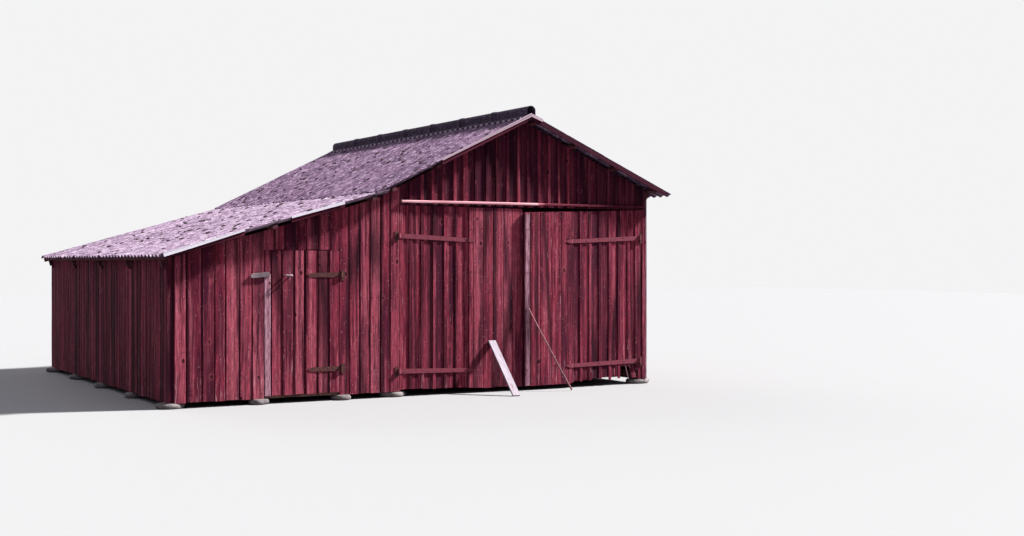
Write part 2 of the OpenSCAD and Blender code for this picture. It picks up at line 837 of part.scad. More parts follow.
// A pointed strap with its knuckle, lying along the line from z0 to z1
module strap(x1, x2, face, rise, z0, z1) {
    point = 60;         // length of the pointed end
    blunt = 8;          // half its height at the very tip
    tall = 2 * strap_root + abs(z0 - z1);
    x_tip = x2 - point;
    z_tip = z0 + (z1 - z0) * x_tip / x2;
    difference() {
        union() {
            intersection() {
                translate([0, 0, min(z0, z1) - strap_root]) linear_extrude(tall)
                    strap_plan(x1, x2, face, rise);
                plate_xz([[0, z0 - strap_root / 2], [x_tip, z_tip - strap_tip / 2], [x2, z1 - blunt],
                    [x2, z1 + blunt], [x_tip, z_tip + strap_tip / 2], [0, z0 + strap_root / 2]],
                    -far, far);
            }
            translate([0, 0, z0 - strap_root / 2]) cylinder(h = strap_root, r = knuckle_r);
        }
        translate([0, 0, z0 - strap_root]) cylinder(h = 2 * strap_root, r = pin_r + pin_clear);
    }
}

module leaf_straps(w, over_w) {
    tip = 90;       // how far a strap runs over the wide boards
    x1 = w - over_w;
    x2 = x1 + tip;
    for (z = [lower_strap_z, upper_strap_z])
        strap(x1, x2, leaf_y - touch, over_t, z, leaf_sag(z, x2, w));
}

module left_leaf() {
    color(red) place() left_swing()
        leaf_boards(left_leaf_w, left_over_w, left_head_fall);
}
module left_leaf_braces() {
    color(frame_wood) place() left_swing() leaf_braces(left_leaf_w);
}
module left_leaf_straps() {
    color(iron) place() left_swing() leaf_straps(left_leaf_w, left_over_w);
}
module right_leaf() {
    color(red) place() right_swing()
        leaf_boards(right_leaf_w, right_over_w, right_head_fall);
}
module right_leaf_braces() {
    color(frame_wood) place() right_swing() leaf_braces(right_leaf_w);
}
module right_leaf_straps() {
    color(iron) place() right_swing() leaf_straps(right_leaf_w, right_over_w);
}

module leaning_plank() {
    along = [cos(plank_tilt), sin(plank_tilt)];
    up = [-sin(plank_tilt), cos(plank_tilt)];
    foot = [plank_foot_y, 0];
    color(white_paint) place() plate_yz([foot, foot + plank_len * along,
        foot + plank_len * along + plank_t * up, foot + plank_t * up],
        -plank_x - plank_w / 2, -plank_x + plank_w / 2);
}

// Leans on the wide boards at the free edge of the right leaf
module leaning_stake() {
    top_in = 50;        // its top and foot from the free edge, and the foot from the leaf
    foot_in = 590;
    foot_out = 390;
    head = [right_leaf_w - top_in, leaf_y - over_t - stake_r - touch, stake_top];
    foot = [right_leaf_w - foot_in, leaf_y - over_t - foot_out, 0];
    run = head - foot;
    long = norm(run);
    tilt = acos(run[2] / long);
    color(bare_wood) place() right_swing()
        translate([foot[0], foot[1], stake_r * sin(tilt)])
            rotate([0, tilt, atan2(run[1], run[0])]) cylinder(h = long, r = stake_r);
}

// The small door's leaf lies flush with the cladding
small_leaf_t = 28;
small_leaf_w = small_w + pin_out - small_gap;
small_foot = clad_foot + 30;
small_face = -pin_y;

module small_door_leaf() {
    color(red) place() small_swing()
        box(pin_out + small_gap, small_leaf_w, small_face, small_face + small_leaf_t,
            small_foot, small_top - small_gap);
}

// Ledges on the inside
module small_door_ledges() {
    thick = 32;
    high = 110;
    inset = 70;
    face = small_face + small_leaf_t;
    color(red) place() small_swing() for (z = [small_lower_z, small_upper_z])
        box(pin_out + small_gap + inset, small_leaf_w - inset, face, face + thick,
            z - high / 2, z + high / 2);
}

module small_door_straps() {
    color(iron) place() small_swing() for (z = [small_lower_z, small_upper_z])
        strap(0, small_strap_len, small_face - touch, 0, z, z);
}

// A rod bent round to a loop that stands out from the leaf
module small_door_handle() {
    rod_r = 12;
    bend_r = 45;
    leg = 45;
    x = 795;        // from the pin
    z = small_upper_z - 3;
    color(bare_wood) place() small_swing() translate([x, small_face - leg, z]) {
        rotate([0, 0, 180]) rotate_extrude(angle = 180) translate([bend_r, 0]) circle(rod_r);
        for (side = [-1, 1]) translate([side * bend_r, 0, 0]) rotate([-90, 0, 0])
            cylinder(h = leg - touch, r = rod_r);
    }
}

// Round-ended board on a spacer at the free edge, which covers the gap beside the leaf
module small_door_latch_board() {
    spacer = 8;
    board_t = 24;
    high = 64;
    past = 175;     // how far it runs past the leaf, over the wall
    held = 62;      // its length on the leaf
    tilt = 5;
    color(bare_wood) place() small_swing() translate([small_leaf_w, small_face, small_upper_z + 8])
        rotate([0, tilt, 0]) {
            box(-held, past, -spacer - board_t, -spacer, -high / 2, high / 2);
            translate([past, -spacer, 0]) rotate([90, 0, 0]) cylinder(h = board_t, r = high / 2);
            box(-held, -small_gap, -spacer, -touch, -high / 2, high / 2);
        }
}

foundation_stones();
sill_beams();
wall_posts();
middle_posts();
wall_rails();
wall_plates();
lean_to_ledger();
door_lintel();
small_door_header();
tie_beams();
king_posts();
ridge_board();
main_rafters();
lean_to_rafters();
main_purlins();
lean_to_purlins();
right_roof_sheets();
left_roof_sheets();
lean_to_roof_sheets();
ridge_caps();
front_bargeboards();
back_bargeboards();
verge_strips();
right_wall_cladding();
left_wall_cladding();
back_gable_wall();
back_lean_to_wall();
front_gable();
front_corner_wall();
wall_over_small_door();
wall_between_doors();
right_door_jamb();
corner_boards();
drip_board();
door_pintles();
left_leaf();
left_leaf_braces();
left_leaf_straps();
leaning_plank();
right_leaf();
right_leaf_braces();
right_leaf_straps();
leaning_stake();
small_door_leaf();
small_door_ledges();
small_door_straps();
small_door_handle();
small_door_latch_board();
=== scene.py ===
"""Looks of the boathouse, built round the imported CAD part."""
import random
from math import asin, atan2, cos, pi, radians, sin, tan

import bmesh
import bpy
import numpy as np
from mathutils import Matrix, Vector


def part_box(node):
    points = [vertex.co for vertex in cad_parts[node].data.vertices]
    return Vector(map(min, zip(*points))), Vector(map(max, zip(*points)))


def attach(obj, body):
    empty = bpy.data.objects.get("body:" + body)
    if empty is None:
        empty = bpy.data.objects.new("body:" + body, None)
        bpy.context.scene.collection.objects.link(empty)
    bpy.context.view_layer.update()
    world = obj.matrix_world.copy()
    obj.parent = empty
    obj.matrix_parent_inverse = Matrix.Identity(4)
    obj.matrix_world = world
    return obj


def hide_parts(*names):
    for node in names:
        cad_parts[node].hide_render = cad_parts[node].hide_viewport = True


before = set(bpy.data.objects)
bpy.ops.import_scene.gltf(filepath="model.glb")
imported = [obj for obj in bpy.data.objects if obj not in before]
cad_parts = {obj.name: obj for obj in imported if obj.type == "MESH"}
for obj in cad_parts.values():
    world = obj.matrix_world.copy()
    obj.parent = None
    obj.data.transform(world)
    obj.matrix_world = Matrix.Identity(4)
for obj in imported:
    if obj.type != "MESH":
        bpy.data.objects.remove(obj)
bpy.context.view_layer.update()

rng = random.Random(41)
draw = rng.uniform

# Sizes are metres. Inside the functions X = 0 is the ridge line and Y = 0 the face of the front cladding.
RIDGE_X = sum(p.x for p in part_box("ridge_board")) / 2
FRONT_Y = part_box("front_gable")[0].y

# Roof: heights of its lines and their distances from the ridge line
RIDGE_Z, RIGHT_EAVE_Z, BREAK_Z, LOW_EAVE_Z = 4.205, 3.05, 2.97, 2.06
RIGHT_RUN, BREAK_RUN, LOW_RUN = 2.64, 2.5, 5.67
VERGE, WALL_D = .19, 7.32
ROOF_LEN = WALL_D + 2 * VERGE

# Sheets as the source has them, and the thinner ones drawn here with laps between them
WAVE, WAVE_DEPTH, SHEET_T, SHEET_LAP = .177, .051, .0065, .15
SHEET_H = WAVE_DEPTH + SHEET_T
THIN_T, THIN_DEPTH, LAP_RISE = .005, WAVE_DEPTH - .006, .0035
TROUGH_H, LEAN_SEAT, PURLIN_D = -.0505, .0023, .045
CRESTS = range(1, int(ROOF_LEN / WAVE))
PURLIN_UNDER = SHEET_H + PURLIN_D
LEAN_TOP_Z = BREAK_Z - SHEET_T - LEAN_SEAT

# Walls and openings: distances from the ridge line, thickness and heights
RIGHT_WALL, LEFT_WALL, CLAD, CLAD_FOOT = 2.26, 5.5, .04, .08
DOOR_LEFT, DOOR_RIGHT, DOOR_TOP, LINTEL = 2.11, 2.12, 2.79, 2.815
SMALL_IN, SMALL_OUT, SMALL_TOP = 3.04, 4.165, 2.125
NAIL_ROWS, LEAF_NAIL_ROWS = (.14, .75, 1.45, 2.2, 2.88, 3.4), (.3, 1.05, 1.8, 2.45)

# Verge: heights of the bargeboards and strips, and how far their tops lie under or over the crests
BARGE_D, STRIP_D, FRONT_UNDER, STRIP_OVER = .066, .06, .0163, .003
BARGE_T, STRIP_T = .025, .018

# Doors: pins, leaves, where they meet, their overlapping wide boards, sag and straps
PIN_Y, PIN_OUT, AJAR = -.02208, .015, radians(1.6)
DOOR_SET, LEAF_T, OVER_T = .005, .03, .02
LEAF_FROM, LEAF_FOOT, LEAF_Y = PIN_OUT + .008, .1, DOOR_SET - PIN_Y
MEET_X, MEET_GAP = -.038, .004
LEFT_W = DOOR_LEFT + MEET_X - MEET_GAP + PIN_OUT
RIGHT_W = DOOR_RIGHT - MEET_X - MEET_GAP + PIN_OUT
LEFT_OVER, RIGHT_OVER, LEFT_FALL, RIGHT_FALL = .93, .85, .015, .07
SAG_TOP, SAG_FOOT = .115, .04
LOWER_STRAP, UPPER_STRAP = .372, LINTEL - .478
SMALL_LOWER, SMALL_UPPER = .45, SMALL_TOP - .353

# Studio: direction to each sun, its energy, angle and colour; the light from the sky and the card behind
SUNS = (("key", (4.3, -1.2, 3.9), 10.2, 5, (1, .965, .97)), ("rim", (-.6, 4, 2.2), .8, 40, (1, 1, 1)))
SKY, SKY_STRENGTH, CARD = (.87, .82, 1, 1), .35, (.9, .9, .91, 1)
FLOOR_LIT, FLOOR_SEEN, FLOOR_HALF, FLOOR_Z = (.16, .15, .16, 1), (.34, .35, .345, 1), 60, -.002

# Camera: the picture's size, focal length and horizon in pixels, its place and its turn in degrees
PHOTO_W, PHOTO_H, FOCAL, HORIZON, SENSOR = 1024, 536, 1358.6164, 261.994, 36
EYE, EYE_TURN = (-10.5911, -17.836, 1.9544), 30.1643


class Slope:
    """One slope of the roof: s runs down it, y along the roof and h stands on it, zero at the crests."""

    def __init__(self, x, z, side, rise, run):
        self.x, self.z, self.side = x, z, side
        self.pitch = atan2(rise, run)
        self.length = run / cos(self.pitch)

    def at(self, s, y, h):
        c, n = cos(self.pitch), sin(self.pitch)
        return vec(self.x + self.side * (s * c + h * n), y, self.z - s * n + h * c)

    def height(self, x, depth):
        """Height of a plane that lies a depth below the crests."""
        return self.z - self.side * (x - self.x) * tan(self.pitch) - depth / cos(self.pitch)


RIGHT = Slope(0, RIDGE_Z, 1, RIDGE_Z - RIGHT_EAVE_Z, RIGHT_RUN)
LEFT = Slope(0, RIDGE_Z, -1, RIDGE_Z - BREAK_Z, BREAK_RUN)
LEAN = Slope(-BREAK_RUN, LEAN_TOP_Z, -1, LEAN_TOP_Z - LOW_EAVE_Z, LOW_RUN - BREAK_RUN)


def under_roof(x, depth=PURLIN_UNDER + .0006):
    """Height of the boards' heads under the roof at a distance from the ridge line."""
    return np.minimum(RIGHT.height(x, depth), np.maximum(LEFT.height(x, depth), LEAN.height(x, depth)))


# Meshes

def vec(*parts):
    """Points from their coordinates."""
    return np.stack(np.broadcast_arrays(*parts), -1)


def add_object(name, data):
    obj = bpy.data.objects.new(name, data)
    bpy.context.scene.collection.objects.link(obj)
    return obj


class Shape:
    """Gathers the solids of one piece, with the grain coordinates, tone and worn-paint values that its
    material reads; on the roof sheets the latter hold painted shade for the troughs, and on the drip board's
    end painted sunlight.
    """

    def __init__(self):
        self.co, self.faces, self.n = [], [], 0
        self.data = {key: [] for key in ("grain", "tone", "wear", "edge")}

    def add(self, co, faces, grain=None, tone=.5, wear=.3, edge=0.):
        co = np.asarray(co, float).reshape(-1, 3)
        self.co.append(co)
        self.faces += [[self.n + i for i in f] for f in faces]
        self.data["grain"].append(co if grain is None else np.asarray(grain, float).reshape(-1, 3))
        for key, v in (("tone", tone), ("wear", wear), ("edge", edge)):
            self.data[key].append(np.broadcast_to(v, len(co)))
        self.n += len(co)

    def make(self, name, material, node=None, body="building", smooth=None):
        """The finished piece; node is the one that it stands in for."""
        co = np.concatenate(self.co) + np.array([RIDGE_X, FRONT_Y, 0])
        mesh = bpy.data.meshes.new(name)
        mesh.from_pydata(co.tolist(), [], self.faces)
        bm = bmesh.new()
        bm.from_mesh(mesh)
        bmesh.ops.recalc_face_normals(bm, faces=bm.faces)
        bm.to_mesh(mesh)
        bm.free()
        for key, data in self.data.items():
            kind, field = ("FLOAT_VECTOR", "vector") if key == "grain" else ("FLOAT", "value")
            layer = mesh.attributes.new(key, kind, "POINT")
            layer.data.foreach_set(field, np.concatenate(data).astype(np.float32).ravel())
        if smooth:
            mesh.shade_smooth()
            mesh.set_sharp_from_angle(angle=radians(smooth))
        mesh.materials.append(material)
        obj = add_object(name, mesh)
        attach(obj, body)
        if node:
            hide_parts(node)


def rings(count, size, closed=True):
    """Quads between successive rings of vertices, and the two end faces when closed."""
    faces = [[i * size + j, i * size + (j + 1) % size, (i + 1) * size + (j + 1) % size, (i + 1) * size + j]
             for i in range(count - 1) for j in range(size)]
    if closed:
        faces += [list(range(size)), list(range((count - 1) * size, count * size))]
    return faces


def dome(count, size):
    """Faces of rings that end in a tip, with the base."""
    last, tip = (count - 1) * size, count * size
    fan = [[last + i, last + (i + 1) % size, tip] for i in range(size)]
    return rings(count, size, False) + fan + [list(range(size - 1, -1, -1))]


def circle(sides):
    return np.arange(sides) * 2 * pi / sides


def ripple(n, size):
    """Smooth random offsets for n points along a board."""
    t = np.linspace(0, 1, n)
    return size * sum(draw(.4, 1) / k * np.sin(2 * pi * (k * .7 * t + rng.random()))
                      for k in (1, 2, 3))


def value(f, u):
    return f(u) if callable(f) else np.full_like(u, f)


def shifted(f, by):
    return (lambda u: f(u) + by) if callable(f) else f + by


def plank(shape, at, u0, u1, v0, v1, d0, d1, tone=None, wear=None, chamfer=.003, segs=12,
          wobble=.0016, bow=.0008, lean=0.):
    """A board: u across it, v along its grain from v0 to v1, d0 its outer face and d1 its inner one."""
    tone = max(0, rng.gauss(.5, .27)) if tone is None else tone
    wear = draw(.1, .5) if wear is None else wear
    c = min(chamfer, (u1 - u0) / 5, (d1 - d0) / 3)
    e = min(.014, (u1 - u0) / 4)
    cup = draw(0, .0012)
    mid = (u0 + u1) / 2
    ring_u = np.array([u0, u0, u0 + c, u0 + e, mid, u1 - e, u1 - c, u1, u1])
    ring_d = np.array([d1, d0 + c, d0, d0 + cup * .3, d0 + cup, d0 + cup * .3, d0, d0 + c, d1])
    ring_e = np.array([1, 1, 1, 0, 0, 0, 1, 1, 1])
    s = np.linspace(0, 1, segs + 1)[:, None]
    edges = np.stack([ripple(segs + 1, wobble), ripple(segs + 1, wobble)], 1)
    u = ring_u + edges[:, np.where(ring_u < mid, 0, 1)] + lean * (s - .5)
    v = value(v0, ring_u) * (1 - s) + value(v1, ring_u) * s
    d = ring_d + np.abs(ripple(segs + 1, bow))[:, None] * (ring_d < d1)
    shift = np.array([draw(0, 40) for _ in range(3)])
    shape.add(at(u, v, d), rings(segs + 1, len(ring_u)), vec(u, v, d) + shift, tone, wear,
              np.tile(ring_e, segs + 1))


def nail_cap(shape, centre, up, radius=.013, high=.006):
    """A low round head that stands on a surface."""
    up = np.asarray(up, float)
    side = np.cross(up, [0, 1, 0] if abs(up[1]) < .9 else [1, 0, 0])
    side /= np.linalg.norm(side)
    a = circle(8)[:, None]
    ring = np.cos(a) * side + np.sin(a) * np.cross(up, side)
    co = np.concatenate([centre + ring * radius, centre + ring * radius * .7 + up * high * .8,
                         [centre + up * high]])
    shape.add(co, dome(2, 8), None, .2, 1.)


def board_nails(shape, at, u0, u1, v0, v1, d, rows):
    """Two nail heads in a board at each rail behind it."""
    ends, inset, clear = np.array([u0, u1]), .028, .04
    low, high = value(v0, ends).max() + clear, value(v1, ends).min() - clear
    for row in rows:
        for edge in (u0 + inset, u1 - inset):
            if low < row < high and rng.random() > .08:
                u, v = edge + draw(-.006, .006), row + draw(-.012, .012)
                centre = at(u, v, d + .0006)
                nail_cap(shape, centre, at(u, v, d + .0006 - 1) - centre, .0065, .0035)


# Places of a wall's boards: u along the wall, v up, d inwards from its outer face

def front(u, v, d):
    return vec(u, d, v)


def back(u, v, d):
    return vec(u, WALL_D - d, v)


def left_side(u, v, d):
    return vec(-LEFT_WALL + d, u, v)


def right_side(u, v, d):
    return vec(RIGHT_WALL - d, u, v)


def split(u0, u1, pitch, spread=.012):
    """Edges of boards of about one pitch between two limits."""
    n = max(1, round((u1 - u0) / pitch))
    cuts = [u0 + (u1 - u0) * i / n for i in range(n + 1)]
    return [c + (draw(-spread, spread) if 0 < i < n else 0) for i, c in enumerate(cuts)]


def boarding(name, node, at, u0, u1, low=CLAD_FOOT, high=under_roof, tone=.5, spread=.26, shape=None):
    """A wall of wide cover boards with narrow gaps, and boards behind the gaps."""
    shape = shape or Shape()
    pitch, gap, mid, half, end = .166, .024, .015, .045, .05
    cuts = split(u0, u1, pitch, .02)
    for i, (a, b) in enumerate(zip(cuts, cuts[1:])):
        a1 = a + (gap / 2 if i else 0)
        b1 = b - (gap / 2 if i < len(cuts) - 2 else 0)
        foot, depth = draw(-.01, .006), draw(0, .0045)
        plank(shape, at, a1, b1, shifted(low, foot), shifted(high, draw(-.003, 0)),
              depth, mid, tone=max(0, rng.gauss(tone, spread)), bow=.0012)
        board_nails(shape, at, a1, b1, low, high, depth, NAIL_ROWS)
    # The boards behind the gaps are drawn dark: partly paint that the sun has faded less, partly painted
    # shade in the recesses.
    for c in cuts[1:-1]:
        plank(shape, at, c - half, c + half, shifted(low, draw(-.004, .01)), high, mid, CLAD,
              tone=max(0, rng.gauss(.15, .1)), wear=.1, segs=6)
    for a in (u0, u1 - end):
        plank(shape, at, a, a + end, low, high, mid + .0005, CLAD, tone=.3, wear=.1, segs=6)
    shape.make(name, RED, node)


def board_and_batten(shape, at, u0, u1, low, high, wide):
    """Wide boards edge to edge with battens over the joints, broad ones over those that wide lists."""
    pitch, gap, thick, batten, broad = .18, .003, .022, .046, .078
    cuts = split(u0, u1, pitch, .006)
    # The wide boards are drawn dark as painted shade from the verge, and the battens lighter as painted
    # sunlight on them.
    for a, b in zip(cuts, cuts[1:]):
        plank(shape, at, a + gap / 2, b - gap / 2, low, high, thick, CLAD, tone=draw(-.1, .1))
    for i, c in enumerate(cuts[1:-1]):
        w = (broad if i in wide else batten) / 2
        plank(shape, at, c - w, c + w, shifted(low, draw(-.004, .004)), high,
              draw(0, .002), thick, tone=draw(.0, .5))


# Materials

def srgb(r, g, b):
    """Linear colour from screen values of 0 to 255."""
    return [((v / 255 + .055) / 1.055) ** 2.4 if v > 10 else v / 3294.6 for v in (r, g, b)]


class Nodes:
    """A node tree with short calls for what is used here."""

    def __init__(self, tree):
        self.tree = tree

    def fill(self, node, inputs):
        """Links or sets a node's inputs. A tuple of three is a colour in screen values."""
        for key, v in inputs.items():
            if isinstance(v, bpy.types.NodeSocket):
                self.tree.links.new(v, node.inputs[key])
            else:
                colour = isinstance(v, tuple) and len(v) == 3
                node.inputs[key].default_value = (*srgb(*v), 1) if colour else v

    def node(self, kind, out, inputs=None, **settings):
        """The output of a new node."""
        n = self.tree.nodes.new("ShaderNode" + kind)
        for k, v in settings.items():
            setattr(n, k, v)
        self.fill(n, inputs or {})
        return n.outputs[out]


class Look(Nodes):
    """A material and the patterns that it is made of."""

    def __init__(self, name, source="grain", shine=.3):
        self.source = source
        self.mat = bpy.data.materials.new(name)
        self.mat.use_nodes = True
        super().__init__(self.mat.node_tree)
        self.bsdf = self.tree.nodes["Principled BSDF"]
        self.fill(self.bsdf, {"Specular IOR Level": shine})

    def attribute(self, name, out="Fac"):
        return self.node("Attribute", out, attribute_name=name)

    def coords(self, scale):
        """Coordinates from the grain attribute, or from object space, scaled per axis."""
        grain = self.source == "grain"
        place = self.attribute("grain", "Vector") if grain else self.node("TexCoord", "Object")
        return self.node("Mapping", "Vector", {"Vector": place, "Scale": list(scale)})

    def noise(self, scale, detail, rough=.55, distort=0.):
        return self.node("TexNoise", "Fac", {"Vector": self.coords(scale), "Scale": 1, "Detail": detail,
                                             "Roughness": rough, "Distortion": distort})

    def cells(self, scale, feature="F1"):
        inputs = {"Vector": self.coords(scale), "Scale": 1}
        return self.node("TexVoronoi", "Distance", inputs, feature=feature)

    def math(self, op, a, b):
        return self.node("Math", 0, {0: a, 1: b}, operation=op)

    def times(self, a, b):
        return self.math("MULTIPLY", a, b)

    def total(self, first, *others):
        """Sum of patterns, each with its weight."""
        out = self.times(*first)
        for v, weight in others:
            out = self.math("ADD", out, self.times(v, weight))
        return out

    def steps(self, v, low, high, out_high=1., out_low=0.):
        """Maps low..high to out_low..out_high, smoothly and clamped."""
        inputs = {"Value": v, "From Min": low, "From Max": high, "To Min": out_low, "To Max": out_high}
        return self.node("MapRange", "Result", inputs, interpolation_type="SMOOTHSTEP")

    def mix(self, factor, a, b):
        return self.node("Mix", 2, {0: factor, 6: a, 7: b}, data_type="RGBA")

    def blend(self, source, low, high, a, b):
        """Runs from one colour to another as a pattern goes from low to high."""
        return self.mix(self.steps(source, low, high), a, b)

    def layers(self, colour, *rows):
        """Shades over a colour, each where a pattern goes from low to high, and up to its share."""
        for source, low, high, share, shade in rows:
            colour = self.mix(self.steps(source, low, high, share), colour, shade)
        return colour

    def checked(self, colour, check, share, shade):
        """Dark checks over a colour."""
        return self.mix(self.times(self.math("SUBTRACT", 1, check), share), colour, shade)

    def position(self, axis):
        """One coordinate of the point in the scene."""
        return self.node("SeparateXYZ", axis, {0: self.node("NewGeometry", "Position")})

    def done(self, colour, rough, bump, strength, distance):
        height = {"Strength": strength, "Distance": distance, "Height": bump}
        self.fill(self.bsdf, {"Base Color": colour, "Roughness": rough,
                              "Normal": self.node("Bump", "Normal", height)})
        return self.mat


def grain_parts(look, across, along):
    """Fine fibres, broad streaks and checks of a board, each 0 to 1."""
    fine = look.noise([v * 14 for v in across], 5, .6)
    broad = look.noise(along, 4, .6, .3)
    cracks = look.cells([v * .16 for v in across], "DISTANCE_TO_EDGE")
    return fine, broad, look.steps(cracks, .0, .055)


def painted(name="red_paint"):
    """Old red distemper on sawn boards: thin, streaked along the grain, checked and worn through."""
    look = Look(name, shine=.12)
    fine, broad, check = grain_parts(look, [8, .5, 8], [30, .75, 30])
    patch = look.noise([8, .6, 8], 3, .5, .4)
    blotch = look.noise([16, 3.2, 16], 4, .6, .5)
    tone = look.attribute("tone")
    strong = look.steps(tone, -.1, .5, 1, .2)       # light streaks are weaker on dark boards
    colour = look.blend(tone, -.1, .5, (56, 12, 32), (142, 46, 66))
    colour = look.blend(tone, .45, 1.1, colour, (190, 94, 110))
    for source, low, high, share, shade in (
            (patch, .46, .66, .55, (172, 72, 92)), (blotch, .54, .68, .4, (182, 90, 104)),
            (broad, .53, .68, .65, (202, 116, 132))):
        colour = look.mix(look.times(look.steps(source, low, high, share), strong), colour, shade)
    colour = look.layers(colour, (patch, .52, .34, .7, (70, 16, 42)), (broad, .49, .33, .85, (48, 10, 30)),
                         (fine, .6, .42, .5, (44, 10, 28)))

    splash = look.steps(look.position("Z"), .9, .1, .05)       # the boards' feet are worn more
    worn = look.total((look.noise([40, 2.4, 40], 6, .72), 1), (look.attribute("wear"), .12),
                      (look.attribute("edge"), .035), (splash, 1))
    worn = look.times(look.steps(worn, .67, .74, .85), strong)
    colour = look.mix(worn, colour, look.blend(fine, .35, .65, (136, 84, 96), (212, 158, 168)))
    flecks = look.steps(look.cells([24, 15, 2]), .13, .07)
    colour = look.mix(look.times(look.times(flecks, .7), strong), colour, (216, 156, 168))

    grey = look.blend(fine, .35, .68, (120, 76, 92), (206, 160, 174))
    grey = look.layers(grey, (broad, .52, .38, .7, (78, 36, 54)))
    # Low tones turn grey: weathered wood, and on the corner boards a painted highlight. Tones over 1.3 turn
    # pale pink: painted sunlight, as on the drip board's end.
    bleached_and_painted_sunlight = look.blend(broad, .35, .6, (188, 116, 128), (234, 186, 192))
    colour = look.layers(colour, (tone, -.2, -.8, 1, grey), (tone, 1.3, 1.8, 1, bleached_and_painted_sunlight))

    distance = look.cells([6, 3.8, .4])
    rare = look.steps(look.noise([2.6, 1.7, 2], 2), .5, .56)
    knot = look.times(look.steps(distance, .15, .1), rare)
    halo = look.times(look.steps(distance, .3, .14), rare)
    colour = look.mix(look.times(halo, .3), colour, (176, 84, 96))
    colour = look.mix(look.times(knot, .9), colour, (32, 6, 18))
    colour = look.checked(colour, check, .75, (30, 4, 18))
    bump = look.total((fine, .5), (check, .8), (broad, .6))
    return look.done(colour, look.steps(fine, .3, .7, .95, .74), bump, .6, .004)


def timber(name, scale, colours, source="object", outside=False):
    """Bare sawn timber, its pattern stretched along the grain; what stands outside the walls is painted dark
    red, which also stands in as painted shade under the eaves.
    """
    look = Look(name, source)
    fine, broad, check = grain_parts(look, scale, [v * 2.2 for v in scale])
    colour = look.blend(broad, .3, .7, colours[0], colours[1])
    colour = look.layers(colour, (fine, .6, .4, .5, colours[2]))
    if outside:
        out, past = 0, .002
        for op, axis, limit in (
                ("LESS_THAN", "Y", FRONT_Y + past), ("GREATER_THAN", "Y", FRONT_Y + WALL_D - past),
                ("LESS_THAN", "X", RIDGE_X - LEFT_WALL + past),
                ("GREATER_THAN", "X", RIDGE_X + RIGHT_WALL - past)):
            out = look.math("MAXIMUM", out, look.math(op, look.position(axis), limit))
        # Outside the walls the timber is painted dark red, and its darkness also stands in for the shade
        # under the eaves.
        paint = look.blend(fine, .35, .65, (52, 18, 30), (104, 44, 56))
        colour = look.mix(out, colour, look.layers(paint, (broad, .45, .62, .5, (112, 76, 82))))
    colour = look.checked(colour, check, .6, (38, 24, 26))
    bump = look.total((fine, .5), (check, 1))
    return look.done(colour, look.steps(fine, .3, .7, .95, .7), bump, .5, .003)


def old_white(name="white_paint", dull=0.):
    """White paint that has gone chalky and flaked off in places."""
    look = Look(name)
    fine, broad, check = grain_parts(look, [8, .55, 8], [14, 1.2, 14])
    chalky = look.blend(broad, .35, .7, (196, 186, 196), (220, 212, 222))
    pinkish = look.blend(broad, .35, .7, (176, 140, 156), (204, 176, 188))
    tone = look.attribute("tone")
    colour = look.blend(tone, 0, .5, pinkish, chalky)
    # Tones over 1.3 turn near white: painted sunlight, as on the lean-to's verge strips.
    colour = look.blend(tone, 1.3, 1.6, colour, (240, 238, 248))
    flake = look.noise([30, 3.4, 30], 6, .75)
    mask = look.steps(look.total((flake, 1), (look.attribute("wear"), .2)), .63, .69)
    colour = look.mix(mask, colour, look.blend(fine, .35, .65, (112, 52, 62), (164, 110, 118)))
    colour = look.mix(dull, colour, look.blend(fine, .35, .65, (74, 62, 70), (150, 138, 148)))
    colour = look.checked(colour, check, .5, (70, 52, 54))
    bump = look.total((fine, 1), (mask, -1), (check, 1))
    return look.done(colour, look.steps(fine, .3, .7, .8, .55), bump, .45, .002)


def fibre_cement(name, light, mid, dark, pale, moss):
    """Weathered sheets: speckled with lichen and flecks of moss along the waves, with painted shade in the
    troughs.
    """
    look = Look(name)
    tone, low = look.attribute("tone"), look.attribute("wear")
    fine = look.noise((60, 90, 90), 4, .7)
    patch = look.noise((2.2, 3.2, 3), 5, .65)
    streak = look.noise((1.5, 26, 26), 4, .6)
    grit = look.noise((9, 24, 24), 4, .75)
    fleck = look.noise((6, 24, 24), 3, .65)
    # The last layer darkens by how deep in a trough a point lies: painted shade in the troughs.
    colour = look.layers(look.blend(tone, .2, .9, mid, light), (patch, .42, .68, .6, light),
                         (streak, .55, .3, .4, dark), (grit, .5, .62, .8, pale), (grit, .48, .36, .75, dark),
                         (low, .35, .95, .75, dark))
    speck = look.cells((12, 22, 15))
    spots = look.times(look.steps(speck, .3, .16), look.steps(patch, .42, .58))
    colour = look.mix(look.times(spots, .8), colour, pale)
    colour = look.mix(look.times(look.steps(fleck, .62, .68), moss), colour, (46, 32, 44))
    chip = look.blend(fine, .4, .6, light, pale)
    tufts = look.blend(fine, .4, .62, (34, 24, 32), (86, 66, 76))
    colour = look.layers(colour, (fine, .6, .38, .4, dark), (tone, 1.3, 1.8, 1, chip),
                         (tone, -.6, -1.2, 1, tufts))
    return look.done(colour, .92, look.total((fine, .7), (grit, 1.2)), .7, .006)


def iron(name="rusty_iron", paint=0.):
    """Forged iron, brown with rust, under what is left of red paint."""
    look = Look(name, "object")
    rust = look.noise((24, 24, 24), 6, .7)
    fine = look.noise((150, 150, 150), 4, .6)
    colour = look.blend(rust, .35, .65, (58, 34, 36), (108, 60, 54))
    left = look.steps(rust, .4 + .3 * paint, .32 + .3 * paint, .9)
    colour = look.mix(left, colour, look.blend(fine, .3, .7, (112, 38, 58), (158, 70, 90)))
    colour = look.layers(colour, (fine, .52, .38, .6, (40, 24, 28)))
    look.fill(look.bsdf, {"Metallic": .1})
    return look.done(colour, look.steps(rust, .3, .7, .85, .55), fine, .5, .0015)


